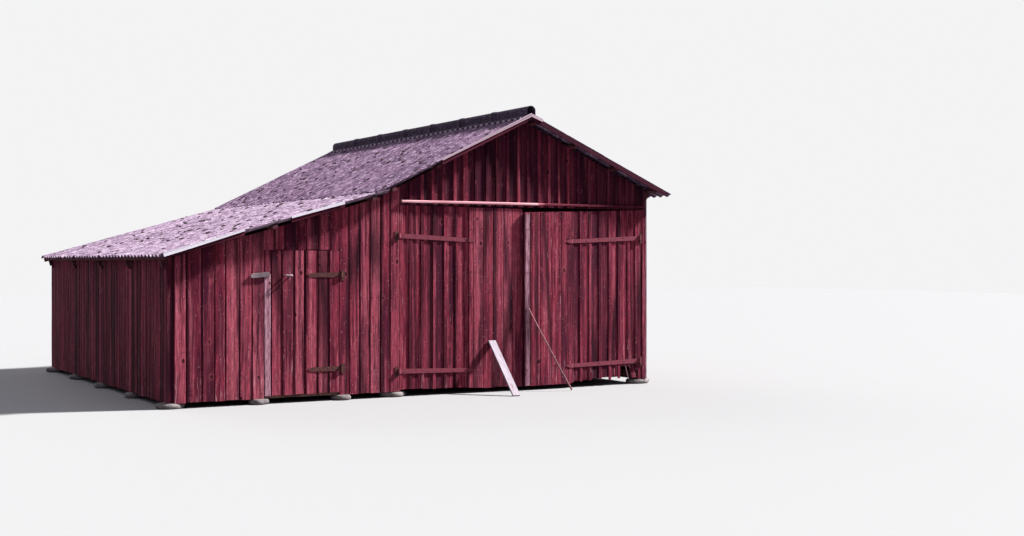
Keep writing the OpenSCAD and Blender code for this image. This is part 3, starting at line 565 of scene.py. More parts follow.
def rock(name="field_stone"):
    """Grey granite with pale patches of lichen."""
    look = Look(name, "object")
    big = look.noise((7, 7, 7), 6, .65)
    fine = look.noise((70, 70, 70), 5, .6)
    colour = look.blend(big, .35, .65, (104, 98, 98), (152, 146, 142))
    colour = look.layers(colour, (fine, .58, .42, .5, (74, 70, 72)), (big, .6, .7, .5, (176, 172, 158)))
    return look.done(colour, .92, look.total((big, 1), (fine, 1)), .6, .008)


RED = painted()
WHITE = old_white()
DULL_WHITE = old_white("dull_white_paint", .62)
GREY_WOOD = timber("grey_wood", [8, .55, 8], [(150, 130, 138), (182, 164, 172), (96, 80, 86)], "grain")
STAKE_WOOD = timber("stake_wood", [8, .55, 8], [(164, 112, 118), (190, 142, 146), (104, 66, 74)], "grain")
FRAME_COLOURS = [(118, 88, 78), (150, 118, 104), (72, 50, 46)]
TIMBER, OUTSIDE = (
    {axis: timber(name + axis, [.55 if a == axis else 8 for a in "xyz"], FRAME_COLOURS, outside=outside)
     for axis in "xyz"} for name, outside in (("frame_timber_", False), ("eaves_timber_", True)))
MAIN_ROOF = fibre_cement("fibre_cement", (138, 108, 138), (110, 83, 112), (50, 33, 50), (200, 174, 198), .75)
LEAN_ROOF = fibre_cement("fibre_cement_lean_to", (172, 148, 172), (146, 122, 147), (68, 47, 66),
                         (224, 206, 223), .8)
CAPS = fibre_cement("dark_fibre_cement", (66, 50, 72), (50, 36, 56), (26, 18, 30), (110, 94, 120), .5)
MORTAR = fibre_cement("ridge_mortar", (168, 144, 166), (104, 80, 102), (50, 34, 50), (204, 184, 204), .3)
IRON = iron()
PAINTED_IRON = iron("painted_iron", .95)
STONE = rock()
SLOTS = {material.name: slot for slot, materials in (
    ("red_boards", [RED]), ("pale_paint", [WHITE, DULL_WHITE]), ("grey_wood", [GREY_WOOD, STAKE_WOOD]),
    ("fibre_cement", [MAIN_ROOF, LEAN_ROOF, MORTAR]), ("dark_fibre_cement", [CAPS]), ("rusty_iron", [IRON]),
    ("field_stone", [STONE])) for material in materials}


# Walls

def front_walls():
    recess, edge = .1, .055     # the left corner's outermost board is missing
    shape = Shape()
    # The recessed board in its place is drawn dark: painted shade in the corner's recess.
    plank(shape, front, -LEFT_WALL, -LEFT_WALL + recess + .03, CLAD_FOOT, under_roof, .02, CLAD,
          tone=.15, wear=.1)
    boarding("corner_boarding", "front_corner_wall", front, -LEFT_WALL + recess, -SMALL_OUT, shape=shape)
    boarding("boarding_over_small_door", "wall_over_small_door", front, -SMALL_OUT, -SMALL_IN, SMALL_TOP)
    boarding("boarding_between_doors", "wall_between_doors", front, -SMALL_IN, -DOOR_LEFT,
             tone=.62, spread=.2)
    shape = Shape()
    board_and_batten(shape, front, -DOOR_LEFT, RIGHT_WALL, DOOR_TOP + .0005, under_roof, (5,))
    shape.make("gable_boarding", RED, "front_gable")
    shape = Shape()
    for x0, x1, d0, d1, tone in ((DOOR_RIGHT, RIGHT_WALL - edge, .008, CLAD, .2),
                                 (RIGHT_WALL - .06, RIGHT_WALL, 0, .02, .3),
                                 (RIGHT_WALL - edge, RIGHT_WALL, .0205, CLAD, .4)):
        plank(shape, front, x0, x1, CLAD_FOOT, DOOR_TOP, d0, d1, tone=tone)
    shape.make("right_jamb_boards", RED, "right_door_jamb")


def rafter_ys(node):
    """Middles of the rafters over one side wall."""
    groups = []
    for y in sorted({round(v.co.y - FRONT_Y, 3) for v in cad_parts[node].data.vertices}):
        if groups and y - groups[-1][-1] < .09:
            groups[-1].append(y)
        else:
            groups.append([y])
    return [(g[0] + g[-1]) / 2 for g in groups]


def side_walls():
    """The side walls, with boards cut shorter under the rafters."""
    # The left wall's low tone is painted shade: that side faces away from the light.
    for name, node, at, slope, x, depth, over, tone in (
            ("left_side_boarding", "left_wall_cladding", left_side, LEAN, -LEFT_WALL, .1,
             "lean_to_rafters", .3),
            ("right_side_boarding", "right_wall_cladding", right_side, RIGHT, RIGHT_WALL, .125,
             "main_rafters", .12)):
        tall = slope.height(x, PURLIN_UNDER + .002)
        notched = slope.height(x - slope.side * .03, PURLIN_UNDER + depth) - .05
        rafters = rafter_ys(over)

        def head(u):
            near = min(abs(u.mean() - y) for y in rafters) < u.max() / 2 - u.min() / 2 + .028
            return np.full_like(u, notched if near else tall)

        boarding(name, node, at, CLAD, WALL_D - CLAD, high=head, tone=tone, spread=.2)


def back_walls():
    boarding("back_gable_boarding", "back_gable_wall", back, -DOOR_LEFT, RIGHT_WALL)
    boarding("back_lean_to_boarding", "back_lean_to_wall", back, -LEFT_WALL, -DOOR_LEFT)


def trims():
    """The corner boards and the drip board over the big doors."""
    shape, width = Shape(), .085
    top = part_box("corner_boards")[1].z - .001

    def corner(u, v, d):
        return vec(RIGHT_WALL + .025 - d, u, v)

    # The corner boards are drawn pale grey, a painted highlight for the sunlit edge of the front one.
    for y in (0, WALL_D - width):
        plank(shape, corner, y, y + width, CLAD_FOOT, top, 0, .0248, tone=-.55, wear=.75)
    shape.make("corner_board_pair", RED, "corner_boards")

    shape, deep, segs, painted_sunlit_end = Shape(), .048, 30, .25
    lo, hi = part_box("drip_board")
    x0, x1 = lo.x - RIDGE_X, hi.x - RIDGE_X

    def drip(u, v, d):
        return vec(v, -deep + d, u + lo.z + .008 * np.clip(d / deep, 0, 1) * (u > .015))

    # Its left end is drawn pale and worn through, a painted sunlit stretch; the rest is drawn dark red,
    # painted shade.
    along = np.repeat(x0 + (x1 - x0) * np.arange(segs + 1) / segs, 9)
    plank(shape, drip, .0005, .03, x0, x1, 0, deep - .0002, tone=np.where(along < painted_sunlit_end, 1.75, .15),
          wear=np.where(along < painted_sunlit_end, 1.2, .1), segs=segs, chamfer=.005, wobble=.0012)
    shape.make("drip_board_worn_with_painted_sunlight", RED, "drip_board")


def verge_timbers():
    """Bargeboards and pale strips, in the stretches that are left."""
    low_end, high0, high1 = LOW_RUN - 1.17, BREAK_RUN + .54, BREAK_RUN + 1.35
    kept = [(LEFT, 0., 1.54), (RIGHT, 0., RIGHT_RUN), (LEAN, low_end, LOW_RUN), (LEAN, high0, high1)]
    pale = [(LEFT, .001, 1.52, -.012, -.034), (RIGHT, .001, .21, -.012, -.026),
            (LEAN, low_end, LOW_RUN - .055, -.036, 0), (LEAN, high0 + .01, high1 - .01, -.022, -.03)]

    def boards(shape, slope, x0, x1, y0, y1, top, deep, **look):
        """One board whose top lies below the crests; deep is its height at both ends."""
        cut = tan(slope.pitch)
        s0, s1 = ((x - abs(slope.x)) / cos(slope.pitch) for x in (x0, x1))
        if x1 in (RIGHT_RUN, LOW_RUN):
            s1 = slope.length - (.11 if slope is RIGHT and top > 0 else .055)

        def at(u, v, d):
            end = deep[0] + (deep[1] - deep[0]) * (v - s0) / (s1 - s0)
            return slope.at(v, y0 + d, -top - u * end)

        plank(shape, at, .008, 1, lambda u: s0 + (u * deep[0] + top) * cut, lambda u: s1 + 0 * u, 0, y1 - y0,
              segs=20, wobble=.03, chamfer=.05, **look)

    barge, strips, rear = Shape(), Shape(), Shape()
    for slope, x0, x1 in kept:
        boards(barge, slope, x0, x1, -VERGE, -VERGE + BARGE_T, FRONT_UNDER, (BARGE_D, BARGE_D),
               tone=-.1 if slope is RIGHT else .05)
    # The lean-to's strips get tone 1.5, near white: painted sunlight on them.
    for slope, x0, x1, less0, less1 in pale:
        boards(strips, slope, x0, x1, -VERGE - STRIP_T, -VERGE - .0002, -STRIP_OVER,
               (STRIP_D + less0, STRIP_D + less1), tone=1.5 if slope is LEAN else .15,
               wear=draw(0, .3))
    y0 = WALL_D + VERGE - .02 - BARGE_T
    for slope, x1 in ((RIGHT, RIGHT_RUN), (LEFT, BREAK_RUN), (LEAN, LOW_RUN)):
        boards(rear, slope, abs(slope.x), x1, y0, y0 + BARGE_T, SHEET_H, (BARGE_D, BARGE_D), tone=.4)
    barge.make("front_bargeboards_worn", RED, "front_bargeboards")
    strips.make("verge_strips_worn", WHITE, "verge_strips")
    rear.make("back_bargeboards_worn", RED, "back_bargeboards")


# Roof

def crest(y):
    """How high on its wave the roof is at a distance along it, 0 to 1, with a crest on the verge."""
    return (1 + np.cos(2 * pi * ((y + VERGE) / WAVE))) / 2


def surface(y):
    """Height of the upper side of the sheets at a distance along the roof."""
    return TROUGH_H + THIN_DEPTH * crest(y)


def sheet(shape, slope, s0, s1, y0, y1, y_end, chips, tone):
    """One waved sheet between two distances down the slope and along the roof."""
    n, per_wave = 5, 8
    cols = int(round((y1 - y0) / WAVE * per_wave))
    m = cols + 1
    s = np.linspace(0, 1, n)[:, None]
    foot = np.abs(np.random.default_rng(rng.randrange(10**6)).normal(0, .0035, m))
    if rng.random() < chips:
        at = rng.randrange(cols)
        width = draw(2, 8)
        foot += draw(.02, .07) * np.clip(1 - np.abs(np.arange(m) - at) / width, 0, 1)
    drop = draw(-.008, -.0008)
    down = s0 + (s1 + drop - foot - s0) * s
    y = np.linspace(y0, y1, m) + ripple(n, .0012)[:, None]
    up = crest(y)
    h = -SHEET_H + THIN_T + THIN_DEPTH * up + LAP_RISE * ((y - y0) / (y1 - y0) + s) + draw(0, .0005)
    y = np.clip(y, -VERGE + .0005, y_end)
    co = np.concatenate([slope.at(down, y, h - t).reshape(-1, 3) for t in (0, THIN_T)])
    faces, o = [], n * m
    for i in range(n - 1):
        for j in range(cols):
            a, b, c, d = i * m + j, i * m + j + 1, (i + 1) * m + j + 1, (i + 1) * m + j
            faces += [[a, b, c, d], [o + d, o + c, o + b, o + a]]
    edge = [i * m for i in range(n)] + [(n - 1) * m + j for j in range(1, m)] \
        + [i * m + m - 1 for i in range(n - 2, -1, -1)] + [j for j in range(m - 2, 0, -1)]
    faces += [[a, b, o + b, o + a] for a, b in zip(edge, edge[1:] + edge[:1])]
    shift = np.array([draw(0, 30), draw(0, 30), 0])
    grain = vec(down, y, h).reshape(-1, 3) + shift
    # Depth in the trough is stored in the same attribute as worn paint, and the roof's material paints it as
    # shade in the troughs.
    low = 1 - up.reshape(-1)
    shape.add(co, faces, np.concatenate([grain, grain]), tone, np.concatenate([low, low]))


def tuft(shape, slope, s, y, size, tall, tone):
    """A low uneven dome that lies on the sheets: moss, or a broken chip when it is pale."""
    n = 8
    a = circle(n) + rng.random()
    uneven = np.array([draw(.75, 1.2) for _ in range(n)])
    parts = []
    for scale, lift in ((1, -.3), (.8, .55), (.4, .95)):
        ys = np.clip(y + size[1] * scale * uneven * np.sin(a), -VERGE + .001, ROOF_LEN - VERGE - .001)
        parts.append(slope.at(s + size[0] * scale * uneven * np.cos(a), ys, surface(ys) + tall * lift))
    co = np.concatenate([*parts, [slope.at(s, y, surface(y) + tall)]])
    shape.add(co, dome(3, n), co * [1.3, 1, 1], tone, .3)


def growth(shape, slope, s_from, count, bare):
    """Moss on the crests of a slope, and broken chips along the bare stretches of its verge."""
    moss, every = -2, .035
    for _ in range(count):
        s = draw(s_from + .25, slope.length - .08)
        y = -VERGE + rng.choice(CRESTS) * WAVE + rng.gauss(0, .03)
        size = (draw(.02, .06), draw(.012, .022))
        tuft(shape, slope, s, y, size, draw(.008, .024), moss)
    for s0, s1 in bare:
        for _ in range(int((s1 - s0) / every)):
            s = draw(s0, s1)
            y = -VERGE + draw(.004, .03)
            size = (draw(.012, .04), draw(.008, .02))
            tuft(shape, slope, s, y, size, draw(.004, .016), rng.choice([2, 2, 1.5, moss, .5]))


def nail_lines(slope):
    """Distances down a slope of the purlins that its sheets are nailed to."""
    first, eave, inset, count = {LEAN: (.06, .07, .07, 5), RIGHT: (.11, .24, .07, 4),
                                 LEFT: (.11, .15, .09, 4)}[slope]
    last = slope.length - eave / cos(slope.pitch) - inset
    return [first + i * (last - first) / (count - 1) + .035 for i in range(count) if i or slope is LEAN]


def roofing():
    """Three slopes of lapped sheets with their nails, moss and broken edges."""
    cover, full = 5 * WAVE, 6 * WAVE
    end = ROOF_LEN - VERGE - .0005
    left_bare = [(1.54 / cos(LEFT.pitch), LEFT.length - .02)]
    lean_bare = [(.02, .54), (1.42, 2.08)]
    for name, slope, s_from, rows, lap, node, material, chips, moss, bare in (
            ("right_sheets", RIGHT, .06, 2, .14, "right_roof_sheets", MAIN_ROOF, .1, 110, []),
            ("left_sheets", LEFT, .06, 2, .14, "left_roof_sheets", MAIN_ROOF, .35, 170, left_bare),
            ("lean_to_sheets", LEAN, -SHEET_LAP / cos(LEAN.pitch), 3, .12, "lean_to_roof_sheets",
             LEAN_ROOF, .25, 170, lean_bare)):
        shape, nails = Shape(), Shape()
        step = (slope.length - s_from) / rows
        for r in range(rows):
            s0, s1 = s_from + r * step - (lap if r else 0), s_from + (r + 1) * step
            y0 = -VERGE
            while y0 < end - .1:
                corner = y0 == -VERGE and slope is LEFT and r == rows - 1
                sheet(shape, slope, s0, s1, y0, min(y0 + full, end), end, .95 if corner else chips,
                      tone=rng.gauss(.5, .2))
                y0 += cover
        growth(shape, slope, s_from, moss, bare)
        up = slope.at(0, 0, 1) - slope.at(0, 0, 0)
        for line in nail_lines(slope):
            for wave in CRESTS:
                if wave % 5 in (1, 3) and rng.random() > .06:
                    y = -VERGE + wave * WAVE + draw(-.004, .004)
                    height = -.0075 + LAP_RISE * (.3 + .4 * rng.random())
                    nail_cap(nails, slope.at(line + draw(-.012, .012), y, height), up)
        shape.make(name, material, node, smooth=40)
        nails.make(name + "_nails", IRON, smooth=30)


def ridge():
    """Ridge caps, each with a socket that slips over the next one's end, and the mortar under them."""
    radius, rise, wing, t, count, socket, short = .07, .042, .185, .008, 7, .08, .15
    touch, play, arc_steps = .0006, .0008, 24

    def line(o, dip):
        """A cap's cross-section at a distance o out from its inner face: wing, arc, wing."""
        tips, arc = [], []
        for slope, side in ((RIGHT, 1), (LEFT, -1)):
            p = slope.pitch
            a = [side * (wing * cos(p) + (touch + o) * sin(p)),
                 -wing * sin(p) + (touch + o) * cos(p)]
            b = [side * (radius + o), (touch + o) / cos(p) - (radius + o) * tan(p)]
            tips.append([a, [(a[0] + b[0]) / 2, (a[1] + b[1]) / 2 + .001], b])
        for k in range(arc_steps + 1):
            a = pi * k / arc_steps
            arc.append([(radius + o) * cos(a), rise + (radius + o) * sin(a) - dip * sin(a)])
        return np.array(tips[0] + arc + tips[1][::-1])

    shape = Shape()
    step = (ROOF_LEN - short) / count
    for i in range(count):
        y0 = -VERGE + i * step
        y1 = y0 + step - .002
        body = [(y0 + .0005, 0, t), (y0 + .004, 0, t)] + [(y0 + step * f, 0, t) for f in (.2, .4, .6, .8)]
        if i < count - 1:
            end = 2 * t + play
            body += [(y1 - .022, 0, t), (y1 - .006, 0, end - .001), (y1, t * .5, end),
                     (y1 + .001, t + play, end), (y1 + socket - .006, t + play, end),
                     (y1 + socket, t + play, end - .003)]
        else:
            body += [(y1 - .004, 0, t), (y1, 0, t)]
        dip = .0006 + draw(0, .0015)
        sway = draw(-.0015, .0015)
        parts = []
        for y, inner, outer in body:
            ring = np.concatenate([line(outer, dip), line(inner, dip)[::-1]])
            x = ring[:, 0] + sway * np.sin((y - y0) * 3)
            parts.append(vec(x, y, ring[:, 1] + RIDGE_Z))
        co = np.stack(parts)
        tone = rng.gauss(.5, .15) + .6 * (np.abs(co[..., 1] - y1 - socket) < .03)
        shape.add(co, rings(len(body), co.shape[1]), co + draw(0, 20), tone.reshape(-1), .2)
    shape.make("ridge_caps_worn", CAPS, "ridge_caps", smooth=35)
    ridge_mortar(wing, short)


def ridge_mortar(wing, short):
    """Beads of mortar that close the waves under the caps' lower edges."""
    shape = Shape()
    sides, per_wave = 8, 10
    n = int((ROOF_LEN - short) / WAVE * per_wave) - 1
    a = circle(sides)
    for slope in (LEFT, RIGHT):
        ringed, tones, places = [], [], []
        for i in range(n):
            y = -VERGE + .004 + i * WAVE / per_wave
            r = .0155 + draw(-.0015, .0015)
            s = wing + .013 + r * np.cos(a)
            h = surface(y) + .011 + r * np.sin(a)
            ringed.append(slope.at(s, y, h))
            places.append(vec(s, y, h))
            # Pale over the crests and dark between them: painted light on the lit crests and painted shade
            # in the troughs.
            tones.append(np.full(sides, 2. if crest(y) > .5 else -.4))
        shape.add(np.array(ringed), rings(n, sides), np.array(places) + 5, np.concatenate(tones), .2)
    shape.make("ridge_mortar", MORTAR, smooth=50)


# Doors: x from a leaf's pin to its free edge, y inwards from the pin and z up

def left_door(x, y, z):
    return vec(-DOOR_LEFT - PIN_OUT + x, PIN_Y + y, z)


def right_door(x, y, z):
    c, s = cos(AJAR), sin(AJAR)
    return vec(DOOR_RIGHT + PIN_OUT - x * c - y * s, PIN_Y - x * s + y * c, z)


def small_door(x, y, z):
    return vec(-SMALL_IN + PIN_OUT - x, PIN_Y + y, z)


def leaf(name, place, w, over, fall, body, node, ragged):
    """A leaf of a big door: boards and battens at the hinges, wide boards over the free edge."""
    def sag(x, amount):
        return amount * (x - LEAF_FROM) / (w - LEAF_FROM)

    def low(x):
        return LEAF_FOOT - sag(x, SAG_FOOT)

    def high(x):
        return DOOR_TOP - .008 - sag(x, fall)

    def at(u, v, d):
        return place(u, LEAF_Y + d, v)

    shape = Shape()
    x1, thick, batten, rot = w - over, .012, .048, .05 if ragged else .012
    cuts = split(LEAF_FROM, x1, .19)
    broken = (.235, .2) if ragged else ()     # how much of the boards' ends by the hinges is gone
    for i, (a, b) in enumerate(zip(cuts, cuts[1:])):
        gone = broken[i] if i < len(broken) else draw(0, rot)
        tear = draw(.01, .04) * (1 if ragged else 0)
        plank(shape, at, a + .0015, b - .0015, lambda x: low(x) + gone + tear * np.sin(90 * (x - a)) ** 2,
              high, thick, LEAF_T, tone=draw(0, .5))
    for i, c in enumerate(cuts[1:]):
        gone = .19 if ragged and i == 0 else draw(0, .03 if ragged else .012)
        c = min(c, x1 - .028)
        plank(shape, at, c - batten / 2, c + batten / 2, shifted(low, gone), high, 0, thick,
              tone=draw(.1, .8))
    plank(shape, at, LEAF_FROM, LEAF_FROM + .05, shifted(low, .13 if ragged else 0), high, 0, thick, tone=.4)
    cuts = split(x1, w, .178, .01)
    for a, b in zip(cuts, cuts[1:]):
        plank(shape, at, a + .001, b - .001, low, high, .0003, LEAF_T, tone=.3, wear=.1, segs=6)

    edge, strip = (.085, 0.) if ragged else (.0, .07)
    cuts = ([x1] if strip else []) + split(x1 + strip, w - edge, .175, .02) + ([w] if edge else [])
    for i, (a, b) in enumerate(zip(cuts, cuts[1:])):
        last = i == len(cuts) - 2
        grey = edge and last
        drop = .014 if grey else draw(0, .005)
        board_nails(shape, at, a, b, LEAF_FOOT, DOOR_TOP, -OVER_T, LEAF_NAIL_ROWS)
        # The right leaf's wide boards get a lower tone than the left's: painted shade from the verge's
        # shadow on that leaf.
        plank(shape, at, a + (.003 if i else 0), b - (0 if last else .003),
              shifted(low, -.008 + draw(0, .02)), shifted(high, -.006 - drop),
              -OVER_T + draw(0, .002), -OVER_T + .0198,
              tone=-.62 if grey else draw(.25, .6) + (0 if ragged else .25),
              wear=.6 if grey else draw(.2, .7), chamfer=.005)
    if ragged:
        def loose(u, v, d):
            """A stick that leans out of the hole at the foot."""
            return place(u + .3 * (v - .12), LEAF_Y + d, v)

        plank(shape, loose, .2, .222, .11, .36, .002, .016, tone=-1, wear=1)
        plank(shape, at, .07, .16, .105, .3, .013, .028, tone=.3, wear=.6, lean=.05)
    shape.make(name, RED, node, body)


def small_leaf():
    shape = Shape()
    w = SMALL_OUT - SMALL_IN + PIN_OUT - .01
    x0, edge, gap, outer_t, inner_t = PIN_OUT + .01, .088, .02, .014, .028
    low, high = CLAD_FOOT + .03, SMALL_TOP - .01

    def at(u, v, d):
        return small_door(u, -PIN_Y + d, v)

    cuts = split(x0, w - edge, .172) + [w]
    for i, (a, b) in enumerate(zip(cuts[:-1], cuts[1:-1])):
        plank(shape, at, a + (gap if i else 0), b - gap, shifted(low, draw(0, .008)),
              high, draw(0, .002), outer_t)
    plank(shape, at, w - edge, w, low, SMALL_UPPER + .02, 0, outer_t, tone=-1, wear=.5)
    plank(shape, at, w - edge, w, SMALL_UPPER + .024, high, .001, outer_t, tone=.2)
    # The boards behind the gaps are drawn dark: partly paint that the sun has faded less, partly painted
    # shade in the recesses.
    for c in cuts[1:-1]:
        plank(shape, at, c - .045, c + .045, low, high, outer_t, inner_t, tone=.15, wear=.1, segs=6)
    for a in (x0, w - .04):
        plank(shape, at, a, a + .045, low, high, outer_t + .0003, inner_t, tone=.3, wear=.1, segs=6)
    shape.make("small_leaf_boards", RED, "small_door_leaf", "small_door")

    shape, tilt = Shape(), radians(5)
    half, held, past, back_d, chamfer = .032, .062, .175, .024, .004

    def latch(u, v, d):
        """u up, v along from the leaf's free edge, d inwards from the board's face"""
        x = v * cos(tilt) + u * sin(tilt)
        z = u * cos(tilt) - v * sin(tilt)
        return small_door(w + x, -PIN_Y - half + d, SMALL_UPPER + .008 + z)

    tip = past + half * np.sin(np.linspace(0, pi / 2, 9))
    steps = np.concatenate([np.linspace(-held, past, 10)[:-1], tip])
    outline = [(-half, back_d), (-half, chamfer), (-half + chamfer, 0), (half - chamfer, 0), (half, chamfer),
               (half, back_d)]
    ringed = []
    for v in steps:
        k = 1 if v <= past else max(.05, cos(asin(min(1, (v - past) / half))))
        worn = 1 - .04 * sin(v * 37)
        ringed.append([latch(u * k * worn, v, d) for u, d in outline])
    grain = np.array([[u if d else 0, v, d] for v in steps for u, d in outline])
    shape.add(ringed, rings(len(steps), len(outline)), grain + 3, .6, .3)
    plank(shape, latch, -.03, .03, -held + .001, -.011, back_d, .0317, tone=.4)
    nail_cap(shape, latch(.004, -.03, .0005), (0, -1, 0), .006, .003)
    shape.make("latch_board_worn", GREY_WOOD, "small_door_latch_board", "small_door")


def rod(shape, points, radii, tone):
    """A round stick along a line of points."""
    pts, sides, uneven = np.asarray(points, float), 12, .06
    ringed, grain, run = [], [], 0
    a = circle(sides)
    for i, p in enumerate(pts):
        t = pts[min(i + 1, len(pts) - 1)] - pts[max(i - 1, 0)]
        t /= np.linalg.norm(t)
        side = np.cross(t, [.31, .2, .93])
        side /= np.linalg.norm(side)
        other = np.cross(t, side)
        r = radii[i] * (1 + uneven * np.sin(3 * a + i * .4))
        ringed.append(p + (np.cos(a) * r)[:, None] * side + (np.sin(a) * r)[:, None] * other)
        if i:
            run += np.linalg.norm(p - pts[i - 1])
        grain.append(vec(a * radii[i], run, 0))
    shape.add(np.array(ringed), rings(len(pts), sides), np.array(grain) + draw(0, 9), tone, .4)


def props():
    """The plank, the stake and the small door's handle."""
    shape = Shape()
    tilt, t, width, length, inset = radians(46), .022, .125, 1.06, .0005
    x0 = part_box("leaning_plank")[0].x - RIDGE_X
    foot_y = DOOR_SET - OVER_T - .0003 - length * cos(tilt)

    def at(u, v, d):
        """u across the plank, v up along it, d down through it"""
        h = t - d
        return vec(x0 + u, foot_y + v * cos(tilt) - h * sin(tilt), v * sin(tilt) + h * cos(tilt))

    plank(shape, at, .0008, width - .0008, inset, length - inset, .0003, t - .0004, tone=.5, wear=.35,
          chamfer=.004, segs=20, wobble=.0006, bow=.0003)
    shape.make("plank_worn", DULL_WHITE, "leaning_plank", "left_door")

    shape = Shape()
    head = np.array([RIGHT_W - .05, LEAF_Y - OVER_T - .014 - .0003, 1.25])
    foot = np.array([RIGHT_W - .59, LEAF_Y - OVER_T - .39, .004])
    pts, radii = [], []
    for k in np.linspace(0, 1, 15):
        bend = .012 * sin(pi * k) + .004 * sin(9 * k)
        pts.append(right_door(*(foot + (head - foot) * k + np.array([bend, -abs(bend) * .4, 0]))))
        radii.append(.0136 - .003 * k + .0008 * sin(13 * k))
    pts[0][2] = .012
    rod(shape, pts, radii, .5)
    shape.make("stake_worn", STAKE_WOOD, "leaning_stake", "right_door", smooth=40)

    shape = Shape()
    bend_r, leg, x, z = .045, .045, .795, SMALL_UPPER - .003
    local = [(x - bend_r, 0), (x - bend_r, -leg * .5)]
    local += [(x - bend_r * cos(a), -leg - bend_r * sin(a)) for a in np.linspace(0, pi, 15)]
    local += [(x + bend_r, -leg * .5), (x + bend_r, 0)]
    pts = [small_door(px, -PIN_Y + py, z + .003 * sin(i)) for i, (px, py) in enumerate(local)]
    rod(shape, pts, [.0112 + .0006 * sin(i * 1.7) for i in range(len(pts))], .9)
    shape.make("handle_worn", GREY_WOOD, "small_door_handle", "small_door", smooth=40)


def strap_nails():
    """Nail heads on the straps of the three doors."""
    face = .0083
    for name, place, w, over, body in (("left_strap_nails", left_door, LEFT_W, LEFT_OVER, "left_door"),
                                       ("right_strap_nails", right_door, RIGHT_W, RIGHT_OVER, "right_door")):
        shape = Shape()
        for z in (LOWER_STRAP, UPPER_STRAP):
            amount = SAG_FOOT + (SAG_TOP - SAG_FOOT) * (z - LEAF_FOOT) / (DOOR_TOP - LEAF_FOOT)
            for k, x in enumerate(np.linspace(.08, w - over - .06, 6)):
                drop = amount * (x - LEAF_FROM) / (w - LEAF_FROM)
                p = place(x, LEAF_Y - face, z - drop + (.012 if k % 2 else -.012))
                nail_cap(shape, p, (0, -1, .02), .009, .004)
        shape.make(name, IRON, body=body, smooth=30)
    shape = Shape()
    for z in (SMALL_LOWER, SMALL_UPPER):
        for k, x in enumerate((.07, .19, .31, .43)):
            p = small_door(x, -PIN_Y - face, z + (.01 if k % 2 else -.01))
            nail_cap(shape, p, (0, -1, .02), .008, .004)
    shape.make("small_strap_nails", IRON, body="small_door", smooth=30)


def stones():
    """A rounded field stone for each of the plain ones in the frame."""
    reach = .445     # more than a stone's width and less than the gap to the next one
    groups = []
    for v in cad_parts["foundation_stones"].data.vertices:
        near = [g for g in groups if max(abs(g[0][0] - v.co.x), abs(g[0][1] - v.co.y)) < reach]
        if not near:
            near = [[]]
            groups += near
        near[0].append(list(v.co))
    shape, sides = Shape(), 22
    a = circle(sides)
    levels = [(0, .86), (.12, .95), (.35, 1), (.65, .985), (.86, .93), (.97, .84), (1, .7)]
    for pts in groups:
        lo, hi = np.min(pts, 0), np.max(pts, 0)
        mid, half = (lo + hi) / 2, (hi - lo) / 2
        phases = [draw(0, 6.3) for _ in range(4)]
        ringed = []
        for lift, scale in levels:
            r = scale * (.93 + .045 * np.sin(3 * a + phases[0]) + .03 * np.sin(5 * a + phases[1] + lift * 2))
            r = np.minimum(r, 1)
            x, y = mid[0] - RIDGE_X + half[0] * r * np.cos(a), mid[1] - FRONT_Y + half[1] * r * np.sin(a)
            ringed.append(vec(x, y, lo[2] + (hi[2] - lo[2]) * lift))
        shape.add(np.array(ringed), rings(len(levels), sides))
    shape.make("foundation_stones_round", STONE, "foundation_stones", smooth=50)


def dress_frame():
    """Materials for the CAD nodes that are shown as they are, by the axis of their grain."""
    for material, nodes in (
            (TIMBER["x"], ("door_lintel", "small_door_header", "tie_beams", "left_leaf_braces",
                           "right_leaf_braces", "small_door_ledges")),
            (TIMBER["y"], ("wall_rails", "wall_plates", "lean_to_ledger", "ridge_board")),
            (TIMBER["z"], ("wall_posts", "middle_posts", "king_posts")),
            (OUTSIDE["x"], ("main_rafters", "lean_to_rafters")),
            (OUTSIDE["y"], ("main_purlins", "lean_to_purlins", "sill_beams")),
            (IRON, ("door_pintles", "small_door_straps")),
            (PAINTED_IRON, ("left_leaf_straps", "right_leaf_straps"))):
        for node in nodes:
            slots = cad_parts[node].data.materials
            slots.clear()
            slots.append(material)


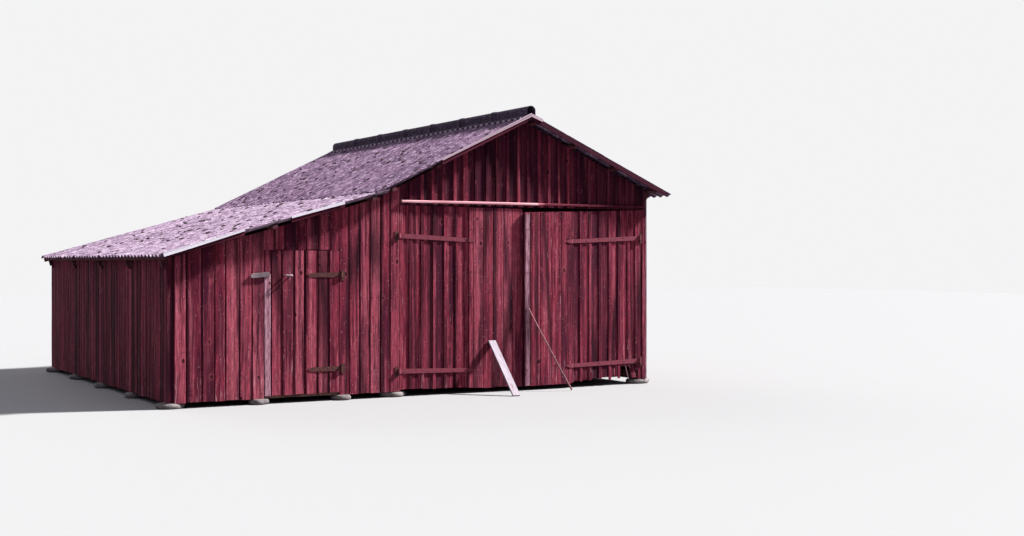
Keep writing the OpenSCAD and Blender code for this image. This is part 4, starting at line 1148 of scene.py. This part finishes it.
def studio():
    """Floor, suns, background and camera."""
    scene = bpy.context.scene
    r = FLOOR_HALF
    floor_mesh = bpy.data.meshes.new("floor")
    floor_mesh.from_pydata([(-r, -r, 0), (r, -r, 0), (r, r, 0), (-r, r, 0)], [], [[0, 1, 2, 3]])
    floor = add_object("floor", floor_mesh)
    floor.location.z = FLOOR_Z
    look = Look("floor")
    seen = look.node("LightPath", "Is Camera Ray")
    look.fill(look.bsdf, {"Base Color": look.mix(seen, FLOOR_LIT, FLOOR_SEEN), "Roughness": .9})
    floor_mesh.materials.append(look.mat)

    for name, towards, energy, angle, colour in SUNS:
        sun = bpy.data.lights.new(name, "SUN")
        sun.energy, sun.angle, sun.color = energy, radians(angle), colour
        add_object(name, sun).rotation_euler = Vector(towards).to_track_quat("Z", "Y").to_euler()

    scene.world = bpy.data.worlds.new("studio")
    scene.world.use_nodes = True
    world = Nodes(scene.world.node_tree)
    world.tree.nodes.clear()
    sky, card = (world.node("Background", 0, {"Color": colour, "Strength": strength})
                 for colour, strength in ((SKY, SKY_STRENGTH), (CARD, 1)))
    shade = world.node("MixShader", 0, {0: world.node("LightPath", "Is Camera Ray"), 1: sky, 2: card})
    world.fill(world.tree.nodes.new("ShaderNodeOutputWorld"), {"Surface": shade})

    camera = bpy.data.cameras.new("camera")
    camera.sensor_width, camera.lens = SENSOR, FOCAL / PHOTO_W * SENSOR
    camera.shift_y = -(PHOTO_H / 2 - HORIZON) / PHOTO_W
    camera.clip_end = 400
    eye = add_object("camera", camera)
    eye.location = (RIDGE_X + EYE[0], FRONT_Y + EYE[1], EYE[2])
    eye.rotation_euler = (pi / 2, 0, -radians(EYE_TURN))
    scene.camera = eye
    scene.view_settings.view_transform = "Standard"


front_walls()
side_walls()
back_walls()
trims()
verge_timbers()
roofing()
ridge()
leaf("left_leaf_boards", left_door, LEFT_W, LEFT_OVER, LEFT_FALL, "left_door", "left_leaf", False)
leaf("right_leaf_boards", right_door, RIGHT_W, RIGHT_OVER, RIGHT_FALL, "right_door", "right_leaf", True)
small_leaf()
props()
strap_nails()
stones()
dress_frame()
studio()
